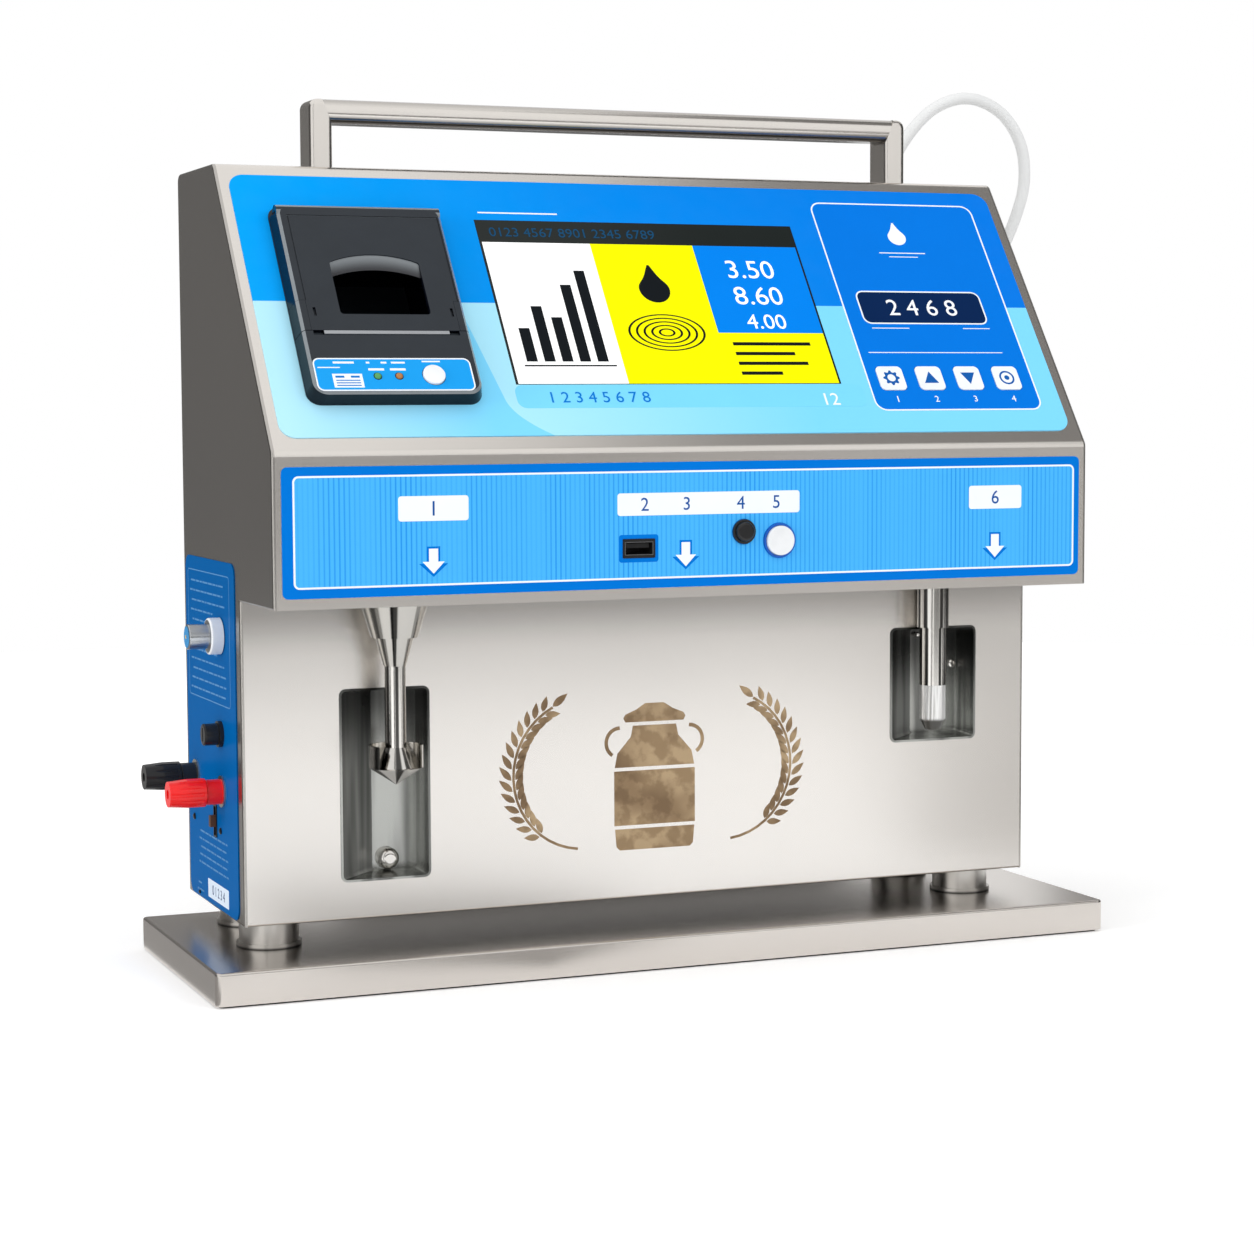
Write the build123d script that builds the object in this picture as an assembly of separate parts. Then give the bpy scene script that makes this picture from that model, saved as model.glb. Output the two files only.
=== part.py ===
from build123d import *
import math
import os

# A bench milk analyzer in folded stainless steel: a cabinet with an overhanging sloping console,
# on four standoffs over a flat base plate. Sizes are in millimetres.
# Frame: +X to the right, +Y to the back, +Z up, origin at the centre of the base's resting face.

os.makedirs("parts", exist_ok=True)

# Stand
base_side_reach = 22.0
base_front_reach = 38.0
base_back_reach = 2.0
base_height = 15.0
base_corner_radius = 2.5
base_edge_radius = 1.2
base_wall = 1.5
mat_thick = 1.0
mat_inset = 2.0
standoff_radius = 13.0
standoff_flange_radius = 14.2
standoff_flange_thick = 2.0
standoff_left_inset = 15.0
standoff_right_inset = 25.0
standoff_end_inset = 16.0
standoff_back_inset = 30.0
standoff_back_inward = 5.0
stud_radius = 3.0
stud_height = 3.6

# Cabinet and console, all from one sheet thickness
sheet = 1.5
cabinet_width = 382.0
cabinet_depth = 100.0
cabinet_bottom_z = 26.0
underside_z = 166.0
bend_z = 230.0
top_z = 353.0
overhang = 55.0
ridge_back = 35.0
rear_return_height = 18.0
bend_radius = 5.0
top_bend_radius = 4.0
panel_edge_radius = 1.1
rear_flange_width = 10.0
vent_count = 9
vent_pitch = 9.0
vent_width = 3.0
vent_height = 34.0
vent_x = 60.0
vent_z = 110.0

# Screws
screw_radius = 2.0
screw_head_radius = 3.6
screw_head_height = 2.2
screw_clearance = 0.1
rear_screw_heights = (45.0, 138.0, 231.0, 322.0)

# Printed films
film = 0.4
slope_film_side_gap = 5.5
slope_film_low = 7.3
slope_film_height = 139.0
slope_film_radius = 7.0
band_film_side_gap = 4.0
band_film_height = 53.8
band_film_low_z = 170.5
band_film_radius = 2.5
side_film_depth = 88.0
side_film_height = 154.5
side_film_setback = 7.5
side_film_low_z = 27.2
side_film_radius = 6.0

# Gaps across the console, as parts of the width that the printer, the screen and the keys leave free
printer_gap_part = 22.6 / 60.9
screen_gap_part = 16.4 / 60.9
key_gap_part = 7.35 / 60.9

# Screen, measured on the slope from its lower bend
screen_low = 33.9
screen_width = 154.2
screen_height = 89.9
screen_clearance = 0.1
screen_frame_border = 5.0
screen_frame_thick = 6.0
board_width = 150.0
board_height = 80.0
board_thick = 1.6
board_gap = 10.0

# Keys
key_size = 13.1
key_radius = 2.4
key_pitch = 19.8
key_height = 36.7
key_proud = 0.5
key_travel = 0.4
key_clearance = 0.2
key_names = ("menu_key", "up_key", "down_key", "enter_key")
key_board_thick = 1.6
key_board_depth = 5.0
key_board_margin = 4.0
key_board_edge = 3.0
key_post_radius = 2.2
key_switch_size = 6.0

# Printer, measured on the slope
printer_low = 23.4
printer_width = 76.6
printer_height = 104.5
printer_corner_radius = 6.0
printer_flange = 0.8
printer_draft_x = 1.7
printer_draft_low = 0.6
printer_draft_high = 4.0
printer_edge = 1.2
printer_face = 8.4
printer_split = 56.0
printer_seam = 0.3
printer_depth = 42.0
printer_wall = 1.6
printer_box_inset = 4.6
printer_box_lift = 3.7
lid_wall = 2.0
lid_barrel_radius = 3.4
hinge_setback = 3.0
lid_pin_radius = 1.0
pin_clearance = 0.05
ear_width = 3.6
ear_offset = 25.0
ear_radius = 2.0
ear_neck = 3.2
bay_low = 57.4
bay_high = 118.0
window_x = 1.45
window_half = 19.85
window_low = 64.8
window_high = 92.5
window_arch = 4.3
window_radius = 1.6
visor_depth = 1.8
visor_drop = 7.1
visor_wall = 5.5
visor_lap = 0.8
tab_width = 4.0
tab_height = 15.6
lid_groove = 0.35
lid_groove_left = 32.4
lid_groove_right = 34.5
lid_groove_top = 117.9
lid_slit_height = 66.0
lid_slit_xs = (-29.5, 30.8)
tear_slot = 4.6
platen_radius = 4.5
platen_shaft_radius = 1.5
platen_half = 27.0
platen_gap = 0.8
head_thick = 4.6
head_depth = 12.0
tear_bar_half = 27.4
roll_radius = 12.0
roll_core_radius = 6.0
roll_half = 28.0
roll_gap = 0.3
feed_button_x = 16.0
feed_button_height = 32.8
feed_button_radius = 4.8
feed_button_proud = 1.2
light_radius = 1.5
light_height = 32.4
light_xs = (-8.5, 0.8)

# Band controls
usb_x = -30.3
usb_z = 187.6
usb_width = 14.9
usb_height = 8.2
usb_depth = 16.0
usb_mouth_width = 12.5
usb_mouth_height = 5.1
usb_shell = 0.3
pump_button_x = 19.0
pump_button_z = 193.7
pump_button_radius = 4.3
pump_button_proud = 2.8
stop_button_x = 36.0
stop_button_z = 189.5
stop_button_radius = 6.45
stop_button_proud = 2.4
button_rim = 0.9
button_rim_proud = 0.9
button_clearance = 0.15
button_travel = 1.6
button_depth = 3.2
switch_depth = 15.0

# Sample side
cone_inset = 63.0
cone_reach = 18.0
cone_top_radius = 15.0
cone_step_z = 150.3
cone_step_radius = 10.2
cone_lower_radius = 8.4
cone_end_z = 138.0
cone_end_radius = 4.9
pipe_radius = 4.6
pipe_bore_radius = 3.4
pipe_top_z = 184.0
guard_top_z = 104.0
guard_rim_z = 94.3
guard_tip_z = 86.7
guard_radius = 11.7
guard_wall = 1.0
guard_skirt_radius = 8.6
spigot_radius = 8.0
spigot_top_z = 171.5
nut_radius = 12.0
probe_inset = 54.2
probe_reach = 10.0
sleeve_radius = 7.4
sleeve_end_z = 144.6
probe_radius = 6.25
probe_end_z = 117.7
probe_cup_radius = 6.1
probe_cup_taper_z = 101.8
probe_cup_end_z = 96.8
probe_cup_end_radius = 3.6
probe_cup_wall = 0.7
bulb_radius = 3.0
bulb_drop = 9.0

# Pockets in the cabinet front
left_pocket_reach = (19.7, 21.2)
left_pocket_low_z = 42.5
left_pocket_high_z = 126.9
right_pocket_reach = (17.1, 28.2)
right_pocket_low_z = 89.9
right_pocket_high_z = 143.9
pocket_depth = 17.0
pocket_left_inset = 18.0
pocket_right_inset = 0.5
pocket_draft = 1.0
pocket_wall = 1.0
pocket_radius = 3.0
pocket_lip_proud = 0.4
drain_offset = 6.0
drain_rise = 7.0
drain_radius = 4.8
drain_length = 5.0
drain_tail = 8.0

# Handle
handle_inset = 44.5
handle_top_z = 382.8
handle_setback = 2.5
handle_depth = 18.0
handle_width = 10.4
handle_bar_radius = 4.6
handle_post_radius = 2.4
handle_corner_radius = 4.0
handle_seam_top = 5.4

# Side controls, on the left panel
dial_setback = 32.0
dial_z = 149.2
dial_skirt_radius = 8.0
dial_skirt_thick = 5.4
dial_radius = 5.5
dial_length = 15.0
dial_shaft_radius = 3.0
dial_gap = 0.4
fuse_setback = 34.0
fuse_z = 106.0
fuse_flange_radius = 5.8
fuse_flange_thick = 1.8
fuse_cap_radius = 4.8
fuse_cap_length = 6.3
fuse_spigot_radius = 2.8
fuse_depth = 18.0
red_post_setback = 33.5
red_post_z = 80.7
black_post_setback = 80.7
black_post_z = 82.4
post_washer_radius = 7.0
post_washer_thick = 0.8
post_collar_radius = 5.5
post_collar_length = 7.0
post_cap_radius = 6.3
post_cap_tip_radius = 5.6
post_cap_length = 16.1
post_cap_gap = 0.3
post_stud_radius = 2.0
post_flutes = 12
post_inner_length = 12.0
slider_setback = 46.0
slider_z = 66.0
slider_width = 4.9
slider_height = 14.4
slider_knob_height = 5.0
slider_knob_proud = 2.8
slider_travel = 3.8
slider_gap = 0.2
slider_knob_width = 3.4
slider_body_depth = 6.0
dial_body_radius = 8.0
dial_body_depth = 9.0

# Inside the cabinet
sensor_width = 56.0
sensor_depth = 34.0
sensor_height = 36.0
transducer_radius = 9.0
transducer_length = 8.0
barb_radius = 1.8
barb_length = 6.0
sensor_port_z = 195.0
pump_x = -60.0
pump_z = 110.0
pump_setback = 31.0
pump_head_half = 28.0
pump_cavity_radius = 22.0
pump_cavity_depth = 18.0
pump_plate = 4.0
pump_foot = 3.0
pump_foot_depth = 24.0
pump_foot_half = 22.0
rotor_hub_radius = 9.0
roller_radius = 4.0
roller_circle = 13.4
roller_count = 3
rotor_thick = 12.0
rotor_shaft_radius = 3.0
motor_radius = 18.0
motor_length = 40.0
tube_radius = 1.8
tube_track_radius = 20.0
tube_bend = 12.0
tube_back_gap = 26.0
tube_high_z = 190.0
return_gap = 38.0
return_z = 200.0
supply_x = 60.0
supply_width = 100.0
supply_depth = 58.0
supply_height = 36.0
supply_back_gap = 6.0

# Rear
inlet_inset = 41.0
inlet_z = 70.0
inlet_flange_width = 50.0
inlet_flange_height = 24.0
inlet_flange_thick = 2.0
inlet_body_width = 28.0
inlet_body_height = 20.5
inlet_body_depth = 20.0
inlet_mouth_width = 24.4
inlet_mouth_height = 16.6
inlet_mouth_depth = 17.0
inlet_pin_length = 11.0
rocker_pitch = 42.0
rocker_width = 12.6
rocker_half = 9.0
rocker_frame_width = 18.0
rocker_frame_half = 14.0
rocker_pivot_depth = 3.0
rocker_tilt = 8.0
rocker_pin_radius = 1.5
upper_fitting_inset = 21.0
upper_fitting_z = 318.0
lower_fitting_inset = 16.5
lower_fitting_z = 292.0
fitting_flange_radius = 7.0
fitting_flange_thick = 4.0
fitting_body_radius = 4.5
fitting_stub_radius = 4.0
fitting_stub_length = 14.0
hose_radius = 3.0
hose_plane_gap = 12.0

# Derived places
cabinet_half = cabinet_width / 2
inner_half = cabinet_half - sheet
base_length = cabinet_width + 2 * base_side_reach
base_depth = cabinet_depth + base_front_reach + base_back_reach
cabinet_front_y = base_front_reach - base_depth / 2
cabinet_back_y = cabinet_front_y + cabinet_depth
side_film_front_y = cabinet_front_y + side_film_setback
cone_y = cabinet_front_y - cone_reach
probe_y = cabinet_front_y - probe_reach
dial_y = cabinet_front_y + dial_setback
fuse_y = cabinet_front_y + fuse_setback
red_post_y = cabinet_front_y + red_post_setback
black_post_y = cabinet_front_y + black_post_setback
slider_y = cabinet_front_y + slider_setback
pump_mid_y = cabinet_front_y + pump_setback
tube_back_y = cabinet_back_y - tube_back_gap
return_y = cabinet_back_y - return_gap
standoff_left_x = standoff_left_inset - cabinet_half
standoff_right_x = cabinet_half - standoff_right_inset
standoff_front_y = cabinet_front_y + standoff_end_inset
standoff_back_y = cabinet_back_y - standoff_back_inset
slope_film_width = cabinet_width - 2 * slope_film_side_gap
band_film_width = cabinet_width - 2 * band_film_side_gap
handle_half = cabinet_half - handle_inset

printer_box_half = printer_width / 2 - printer_box_inset
screen_frame_half = screen_width / 2 + screen_frame_border
key_row_half = (len(key_names) - 1) * key_pitch / 2
key_post_reach = key_row_half + key_size / 2 + key_board_margin
key_board_half = key_post_reach + key_board_edge
free_width = 2 * (inner_half - printer_box_half - screen_frame_half - key_board_half)
printer_x = printer_gap_part * free_width + printer_box_half - inner_half
screen_x = printer_x + printer_box_half + screen_gap_part * free_width + screen_frame_half
key_middle_x = screen_x + screen_frame_half + key_gap_part * free_width + key_board_half
key_first_x = key_middle_x - key_row_half

cone_x = cone_inset - cabinet_half
probe_x = cabinet_half - probe_inset
left_pocket_box = (
    cone_x - left_pocket_reach[0],
    cone_x + left_pocket_reach[1],
    left_pocket_low_z,
    left_pocket_high_z,
)
right_pocket_box = (
    probe_x - right_pocket_reach[0],
    probe_x + right_pocket_reach[1],
    right_pocket_low_z,
    right_pocket_high_z,
)
drain_x = cone_x + drain_offset
drain_z = left_pocket_low_z + drain_rise
inlet_x = inlet_inset - cabinet_half
rocker_x = inlet_x + rocker_pitch
upper_fitting_x = cabinet_half - upper_fitting_inset
lower_fitting_x = cabinet_half - lower_fitting_inset
console_front_y = cabinet_front_y - overhang
ridge_y = cabinet_front_y + ridge_back
rear_cover_top_z = top_z - rear_return_height
handle_front_y = ridge_y + handle_setback
hose_y = cabinet_back_y + hose_plane_gap
slope_rise = top_z - bend_z
slope_run = ridge_y - console_front_y
slope_length = math.hypot(slope_rise, slope_run)

slope = Plane(
    origin=(0, console_front_y, bend_z),
    x_dir=(1, 0, 0),
    z_dir=(0, -slope_rise / slope_length, slope_run / slope_length),
)
band = Plane(origin=(0, console_front_y, 0), x_dir=(1, 0, 0), z_dir=(0, -1, 0))
front = Plane(origin=(0, cabinet_front_y, 0), x_dir=(1, 0, 0), z_dir=(0, -1, 0))
left = Plane(origin=(-cabinet_half, 0, 0), x_dir=(0, -1, 0), z_dir=(-1, 0, 0))
rear = Plane(origin=(0, cabinet_back_y, 0), x_dir=(-1, 0, 0), z_dir=(0, 1, 0))

nodes = {}


def keep(name, *solids):
    """Stores one node: one solid, or a group of separate solids."""
    found = [solid for shape in solids for solid in shape.solids()]
    nodes[name] = found[0] if len(found) == 1 else Compound(children=found)


def rise(plane, outline, low, high):
    """A piece with this outline on a plane, between two heights above it."""
    return extrude(plane.offset(low) * outline, amount=high - low)


def peg(plane, x, y, radius, low, high):
    return rise(plane, Pos(x, y) * Circle(radius), low, high)


def slab(plane, x, y, width, height, low, high, radius=0.0):
    outline = RectangleRounded(width, height, radius) if radius else Rectangle(width, height)
    return rise(plane, Pos(x, y) * outline, low, high)


def block(x0, x1, y0, y1, z0, z1):
    size = (x1 - x0, y1 - y0, z1 - z0)
    return Pos((x0 + x1) / 2, (y0 + y1) / 2, (z0 + z1) / 2) * Box(*size)


def turned(x, y, profile):
    """A turned piece about a vertical axis, from (radius, z) points."""
    face = make_face(Polyline(*profile, close=True))
    return Pos(x, y, 0) * revolve(Plane.XZ * face, axis=Axis.Z)


def across(profile, x0, x1):
    """A piece with a side profile in (y, z), between two places along X."""
    face = make_face(Polyline(*profile, close=True))
    return extrude(Plane.YZ.offset(x0) * face, amount=x1 - x0)


def eased(shape, plane, radius):
    """Rounds the edges of the face that lies furthest out from a plane."""
    outermost = shape.faces().sort_by(Axis(plane.origin, plane.z_dir))[-1]
    return fillet(outermost.edges(), radius)


def near(points, places, reach=0.01):
    """The vertices that lie at the given (x, y) places of a flat outline."""
    return [p for p in points for x, y in places if math.hypot(p.X - x, p.Y - y) < reach]


# Stand
standoff_places = [
    (x + inward * shift, y)
    for x, inward in ((standoff_left_x, 1), (standoff_right_x, -1))
    for y, shift in ((standoff_front_y, 0), (standoff_back_y, standoff_back_inward))
]


def make_stand():
    base = block(
        -base_length / 2, base_length / 2, -base_depth / 2, base_depth / 2, mat_thick, base_height
    )
    base = fillet(base.edges().filter_by(Axis.Z), base_corner_radius)
    base = fillet(base.faces().sort_by(Axis.Z)[-1].edges(), base_edge_radius)
    hollow = block(
        -base_length / 2 + base_wall,
        base_length / 2 - base_wall,
        -base_depth / 2 + base_wall,
        base_depth / 2 - base_wall,
        mat_thick + base_wall,
        base_height - base_wall,
    )
    base -= hollow
    for x, y in standoff_places:
        base += peg(Plane.XY, x, y, stud_radius, base_height - base_wall, base_height + stud_height)
    keep("base_plate", base)
    keep(
        "base_mat",
        slab(
            Plane.XY,
            0,
            0,
            base_length - 2 * mat_inset,
            base_depth - 2 * mat_inset,
            0,
            mat_thick,
            base_corner_radius,
        ),
    )
    standoffs = []
    for x, y in standoff_places:
        post = peg(Plane.XY, x, y, standoff_radius, base_height, cabinet_bottom_z)
        flange_top = base_height + standoff_flange_thick
        post += peg(Plane.XY, x, y, standoff_flange_radius, base_height, flange_top)
        post -= peg(
            Plane.XY, x, y, stud_radius + screw_clearance, base_height, base_height + stud_height + 0.4
        )
        post -= peg(
            Plane.XY, x, y, screw_radius + screw_clearance, base_height + stud_height + 2, cabinet_bottom_z
        )
        standoffs.append(post)
    keep("standoffs", *standoffs)


# Cabinet and console
side_outline = [
    (cabinet_back_y, cabinet_bottom_z),
    (cabinet_front_y, cabinet_bottom_z),
    (cabinet_front_y, underside_z),
    (console_front_y, underside_z),
    (console_front_y, bend_z),
    (ridge_y, top_z),
    (cabinet_back_y, top_z),
]


def folded_outline():
    """The console shell's section: band, slope, top and rear return, a sheet thick."""
    up = math.atan2(slope_rise, slope_run)
    bend_shift = sheet * math.tan((math.pi / 2 - up) / 2)
    ridge_shift = sheet * math.tan(up / 2)
    outer = [
        (console_front_y, underside_z),
        (console_front_y, bend_z),
        (ridge_y, top_z),
        (cabinet_back_y, top_z),
        (cabinet_back_y, rear_cover_top_z),
    ]
    inner = [
        (cabinet_back_y - sheet, rear_cover_top_z),
        (cabinet_back_y - sheet, top_z - sheet),
        (ridge_y + ridge_shift, top_z - sheet),
        (console_front_y + sheet, bend_z - bend_shift),
        (console_front_y + sheet, underside_z),
    ]
    face = make_face(Polyline(*outer, *inner, close=True))
    face = fillet(near(face.vertices(), [outer[1]]), bend_radius)
    face = fillet(near(face.vertices(), [inner[3]]), bend_radius - sheet)
    face = fillet(near(face.vertices(), [outer[2], outer[3]]), top_bend_radius)
    face = fillet(near(face.vertices(), [inner[1], inner[2]]), top_bend_radius - sheet)
    return face


def side_panel(sign):
    face = make_face(Polyline(*side_outline, close=True))
    face = fillet(near(face.vertices(), [side_outline[4]]), bend_radius)
    face = fillet(near(face.vertices(), [side_outline[5], side_outline[6]]), top_bend_radius)
    low = -cabinet_half if sign < 0 else inner_half
    panel = extrude(Plane.YZ.offset(low) * face, amount=sheet)
    outer_face = panel.faces().filter_by(Axis.X).sort_by(Axis.X)[0 if sign < 0 else -1]
    panel = fillet(outer_face.edges(), panel_edge_radius)
    flange_x = sorted((sign * inner_half, sign * (inner_half - rear_flange_width)))
    panel += block(
        *flange_x,
        cabinet_back_y - 2 * sheet,
        cabinet_back_y - sheet,
        cabinet_bottom_z + 2 * sheet,
        rear_cover_top_z - sheet,
    )
    return panel - rear_screw_holes(sign)


def rear_screw_x(sign):
    return sign * (inner_half - rear_flange_width / 2)


def rear_screw_holes(sign):
    holes = Part()
    for z in rear_screw_heights:
        hole_radius = screw_radius + screw_clearance
        holes += peg(rear, -rear_screw_x(sign), z, hole_radius, -3 * sheet, sheet)
    return holes


def pocket_window(box, inset=0.0):
    x0, x1, z0, z1 = box
    outline = RectangleRounded(x1 - x0 - 2 * inset, z1 - z0 - 2 * inset, pocket_radius - inset)
    return Pos((x0 + x1) / 2, (z0 + z1) / 2) * outline


def pocket_back(box, inset=0.0):
    x0, x1, z0, z1 = box
    x0, x1 = x0 + pocket_left_inset, x1 - pocket_right_inset
    z0, z1 = z0 + pocket_draft, z1 - pocket_draft
    outline = RectangleRounded(x1 - x0 - 2 * inset, z1 - z0 - 2 * inset, pocket_radius - inset)
    return Pos((x0 + x1) / 2, (z0 + z1) / 2) * outline


def pocket(box):
    """A drawn pocket: straight through the front sheet, then drawn in to its back wall."""
    outer = rise(front, pocket_window(box), -sheet, pocket_lip_proud)
    outer += loft(
        [front.offset(-pocket_depth) * pocket_back(box), front.offset(-sheet) * pocket_window(box)],
        ruled=True,
    )
    wall = pocket_wall
    inner = rise(front, pocket_window(box, wall), -sheet, pocket_lip_proud)
    inner += loft(
        [
            front.offset(wall - pocket_depth) * pocket_back(box, wall),
            front.offset(-sheet) * pocket_window(box, wall),
        ],
        ruled=True,
    )
    return outer - inner


def make_cabinet():
    left_panel = side_panel(-1)
    left_panel -= peg(left, -dial_y, dial_z, dial_shaft_radius + pin_clearance, -2 * sheet, sheet)
    left_panel -= peg(left, -fuse_y, fuse_z, fuse_cap_radius, -2 * sheet, sheet)
    for y, z in ((red_post_y, red_post_z), (black_post_y, black_post_z)):
        left_panel -= peg(left, -y, z, post_stud_radius + screw_clearance, -2 * sheet, sheet)
    left_panel -= slab(left, -slider_y, slider_z, slider_width, slider_height, -2 * sheet, sheet)
    keep("left_side_panel", left_panel)
    keep("right_side_panel", side_panel(1))

    face = block(
        -inner_half,
        inner_half,
        cabinet_front_y,
        cabinet_front_y + sheet,
        cabinet_bottom_z,
        underside_z + sheet,
    )
    low_edge = face.edges().filter_by(Axis.X).sort_by(Axis.Z)[:2].sort_by(Axis.Y)[0]
    face = fillet(low_edge, panel_edge_radius)
    for box in (left_pocket_box, right_pocket_box):
        face -= rise(front, pocket_window(box), -2 * sheet, sheet)
    keep("cabinet_front", face)
    keep("left_pocket", pocket(left_pocket_box) - peg(front, drain_x, drain_z, 2.5, -pocket_depth, -9))
    keep("right_pocket", pocket(right_pocket_box))

    drain_back = pocket_wall - pocket_depth
    drain = peg(front, drain_x, drain_z, drain_radius, drain_back, drain_back + drain_length)
    drain = eased(drain, front, drain_radius * 0.6)
    drain += peg(front, drain_x, drain_z, 2.4, drain_back - drain_tail, drain_back)
    keep("drain_fitting", drain)

    shell = extrude(Plane.YZ.offset(-inner_half) * folded_outline(), amount=cabinet_width - 2 * sheet)
    screen_centre = screen_low + screen_height / 2
    shell -= slab(
        slope,
        screen_x,
        screen_centre,
        screen_width + 2 * screen_clearance,
        screen_height + 2 * screen_clearance,
        -2 * sheet,
        sheet,
    )
    shell -= printer_opening(-2 * sheet, sheet)
    for i in range(len(key_names)):
        shell -= key_pad(i, -2 * sheet, sheet, key_clearance)
    shell -= slab(band, usb_x, usb_z, usb_width, usb_height, -2 * sheet, sheet)
    for x, z, radius in band_buttons:
        shell -= peg(band, x, z, radius + button_rim, -2 * sheet, sheet)
    keep("console_shell", shell)

    underside = block(
        -inner_half,
        inner_half,
        console_front_y + sheet,
        cabinet_front_y,
        underside_z,
        underside_z + sheet,
    )
    underside -= peg(
        Plane.XY, cone_x, cone_y, spigot_radius + screw_clearance, underside_z - 1, underside_z + 2 * sheet
    )
    underside -= peg(
        Plane.XY, probe_x, probe_y, probe_radius + screw_clearance, underside_z - 1, underside_z + 2 * sheet
    )
    keep("console_underside", underside)

    floor = block(
        -inner_half,
        inner_half,
        cabinet_front_y + sheet,
        cabinet_back_y - sheet,
        cabinet_bottom_z,
        cabinet_bottom_z + sheet,
    )
    for x, y in standoff_places:
        floor -= peg(
            Plane.XY, x, y, screw_radius + screw_clearance, cabinet_bottom_z - 1, cabinet_bottom_z + 2 * sheet
        )
    keep("bottom_plate", floor)

    cover = block(
        -inner_half,
        inner_half,
        cabinet_back_y - sheet,
        cabinet_back_y,
        cabinet_bottom_z,
        rear_cover_top_z,
    )
    cover -= rear_screw_holes(-1)
    cover -= rear_screw_holes(1)
    for i in range(vent_count):
        x = vent_x + (i - (vent_count - 1) / 2) * vent_pitch
        slot = SlotOverall(vent_height, vent_width, rotation=90)
        cover -= rise(rear, Pos(-x, vent_z) * slot, -2 * sheet, sheet)
    cover -= slab(rear, -inlet_x, inlet_z, inlet_body_width, inlet_body_height, -2 * sheet, sheet)
    cover -= slab(
        rear, -rocker_x, inlet_z, rocker_width + 3, 2 * rocker_half + 4, -2 * sheet, sheet
    )
    for x, z in fitting_places:
        cover -= peg(rear, -x, z, fitting_stub_radius, -2 * sheet, sheet)
    keep("rear_cover", cover)

    screws = []
    for sign in (-1, 1):
        for z in rear_screw_heights:
            x = -rear_screw_x(sign)
            screw = peg(rear, x, z, screw_head_radius, 0, screw_head_height)
            screw = eased(screw, rear, screw_head_height * 0.4)
            screw -= slab(rear, x, z, 4.0, 0.8, screw_head_height - 1, screw_head_height + 1)
            screw -= slab(rear, x, z, 0.8, 4.0, screw_head_height - 1, screw_head_height + 1)
            screw += peg(rear, x, z, screw_radius, -3 * sheet - 2, 0)
            screws.append(screw)
    floor_top = cabinet_bottom_z + sheet
    for x, y in standoff_places:
        screw = peg(Plane.XY, x, y, screw_head_radius, floor_top, floor_top + screw_head_height)
        screw += peg(Plane.XY, x, y, screw_radius, base_height + stud_height + 2.5, floor_top)
        screws.append(screw)
    keep("screws", *screws)


# Handle
def make_handle():
    low = handle_top_z - handle_width
    back_y = handle_front_y + handle_depth
    seam_x = handle_half - handle_seam_top
    inner_x = handle_half - handle_width
    bar_face = Pos(handle_front_y + handle_depth / 2, handle_top_z - handle_width / 2) * (
        RectangleRounded(handle_depth, handle_width, handle_bar_radius)
    )
    bar = extrude(Plane.YZ.offset(-handle_half) * bar_face, amount=2 * handle_half)
    mitre = [
        (-seam_x, handle_top_z + 1),
        (seam_x, handle_top_z + 1),
        (inner_x, low - 1),
        (-inner_x, low - 1),
    ]
    mitre_face = make_face(Polyline(*mitre, close=True))
    middle = extrude(Plane.XZ.offset(-back_y - 1) * mitre_face, amount=handle_depth + 2)
    posts = []
    for sign in (-1, 1):
        corners = [
            (sign * inner_x, top_z),
            (sign * handle_half, top_z),
            (sign * handle_half, handle_top_z),
            (sign * inner_x, handle_top_z),
        ]
        post_face = make_face(Polyline(*corners, close=True))
        post_face = fillet(near(post_face.vertices(), [corners[2]]), handle_corner_radius)
        post = extrude(Plane.XZ.offset(-back_y) * post_face, amount=handle_depth)
        ends = post.faces().filter_by(Axis.Y).edges()
        above = [e for e in ends if e.center().Z > top_z + 0.1]
        posts.append(fillet(above, handle_post_radius) - middle)
    keep("handle", bar & middle, *posts)


# Films
def film_on(plane, x, y, width, height, radius):
    return slab(plane, x, y, width, height, 0, film, radius)


def make_films():
    slope_film = film_on(
        slope,
        0,
        slope_film_low + slope_film_height / 2,
        slope_film_width,
        slope_film_height,
        slope_film_radius,
    )
    slope_film -= slab(
        slope,
        screen_x,
        screen_low + screen_height / 2,
        screen_width + 2 * screen_clearance,
        screen_height + 2 * screen_clearance,
        -1,
        1,
    )
    slope_film -= printer_opening(-1, 1)
    for i in range(len(key_names)):
        slope_film -= key_pad(i, -1, 1, key_clearance)
    keep("slope_overlay", slope_film)

    band_film = film_on(
        band,
        0,
        band_film_low_z + band_film_height / 2,
        band_film_width,
        band_film_height,
        band_film_radius,
    )
    band_film -= slab(band, usb_x, usb_z, usb_width, usb_height, -1, 1)
    for x, z, radius in band_buttons:
        band_film -= peg(band, x, z, radius + button_rim, -1, 1)
    keep("band_overlay", band_film)

    side_film = film_on(
        left,
        -side_film_front_y - side_film_depth / 2,
        side_film_low_z + side_film_height / 2,
        side_film_depth,
        side_film_height,
        side_film_radius,
    )
    side_film -= peg(left, -dial_y, dial_z, dial_shaft_radius + pin_clearance, -1, 1)
    side_film -= peg(left, -fuse_y, fuse_z, fuse_cap_radius, -1, 1)
    for y, z in ((red_post_y, red_post_z), (black_post_y, black_post_z)):
        side_film -= peg(left, -y, z, post_stud_radius + screw_clearance, -1, 1)
    side_film -= slab(left, -slider_y, slider_z, slider_width, slider_height, -1, 1)
    keep("side_overlay", side_film)


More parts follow.
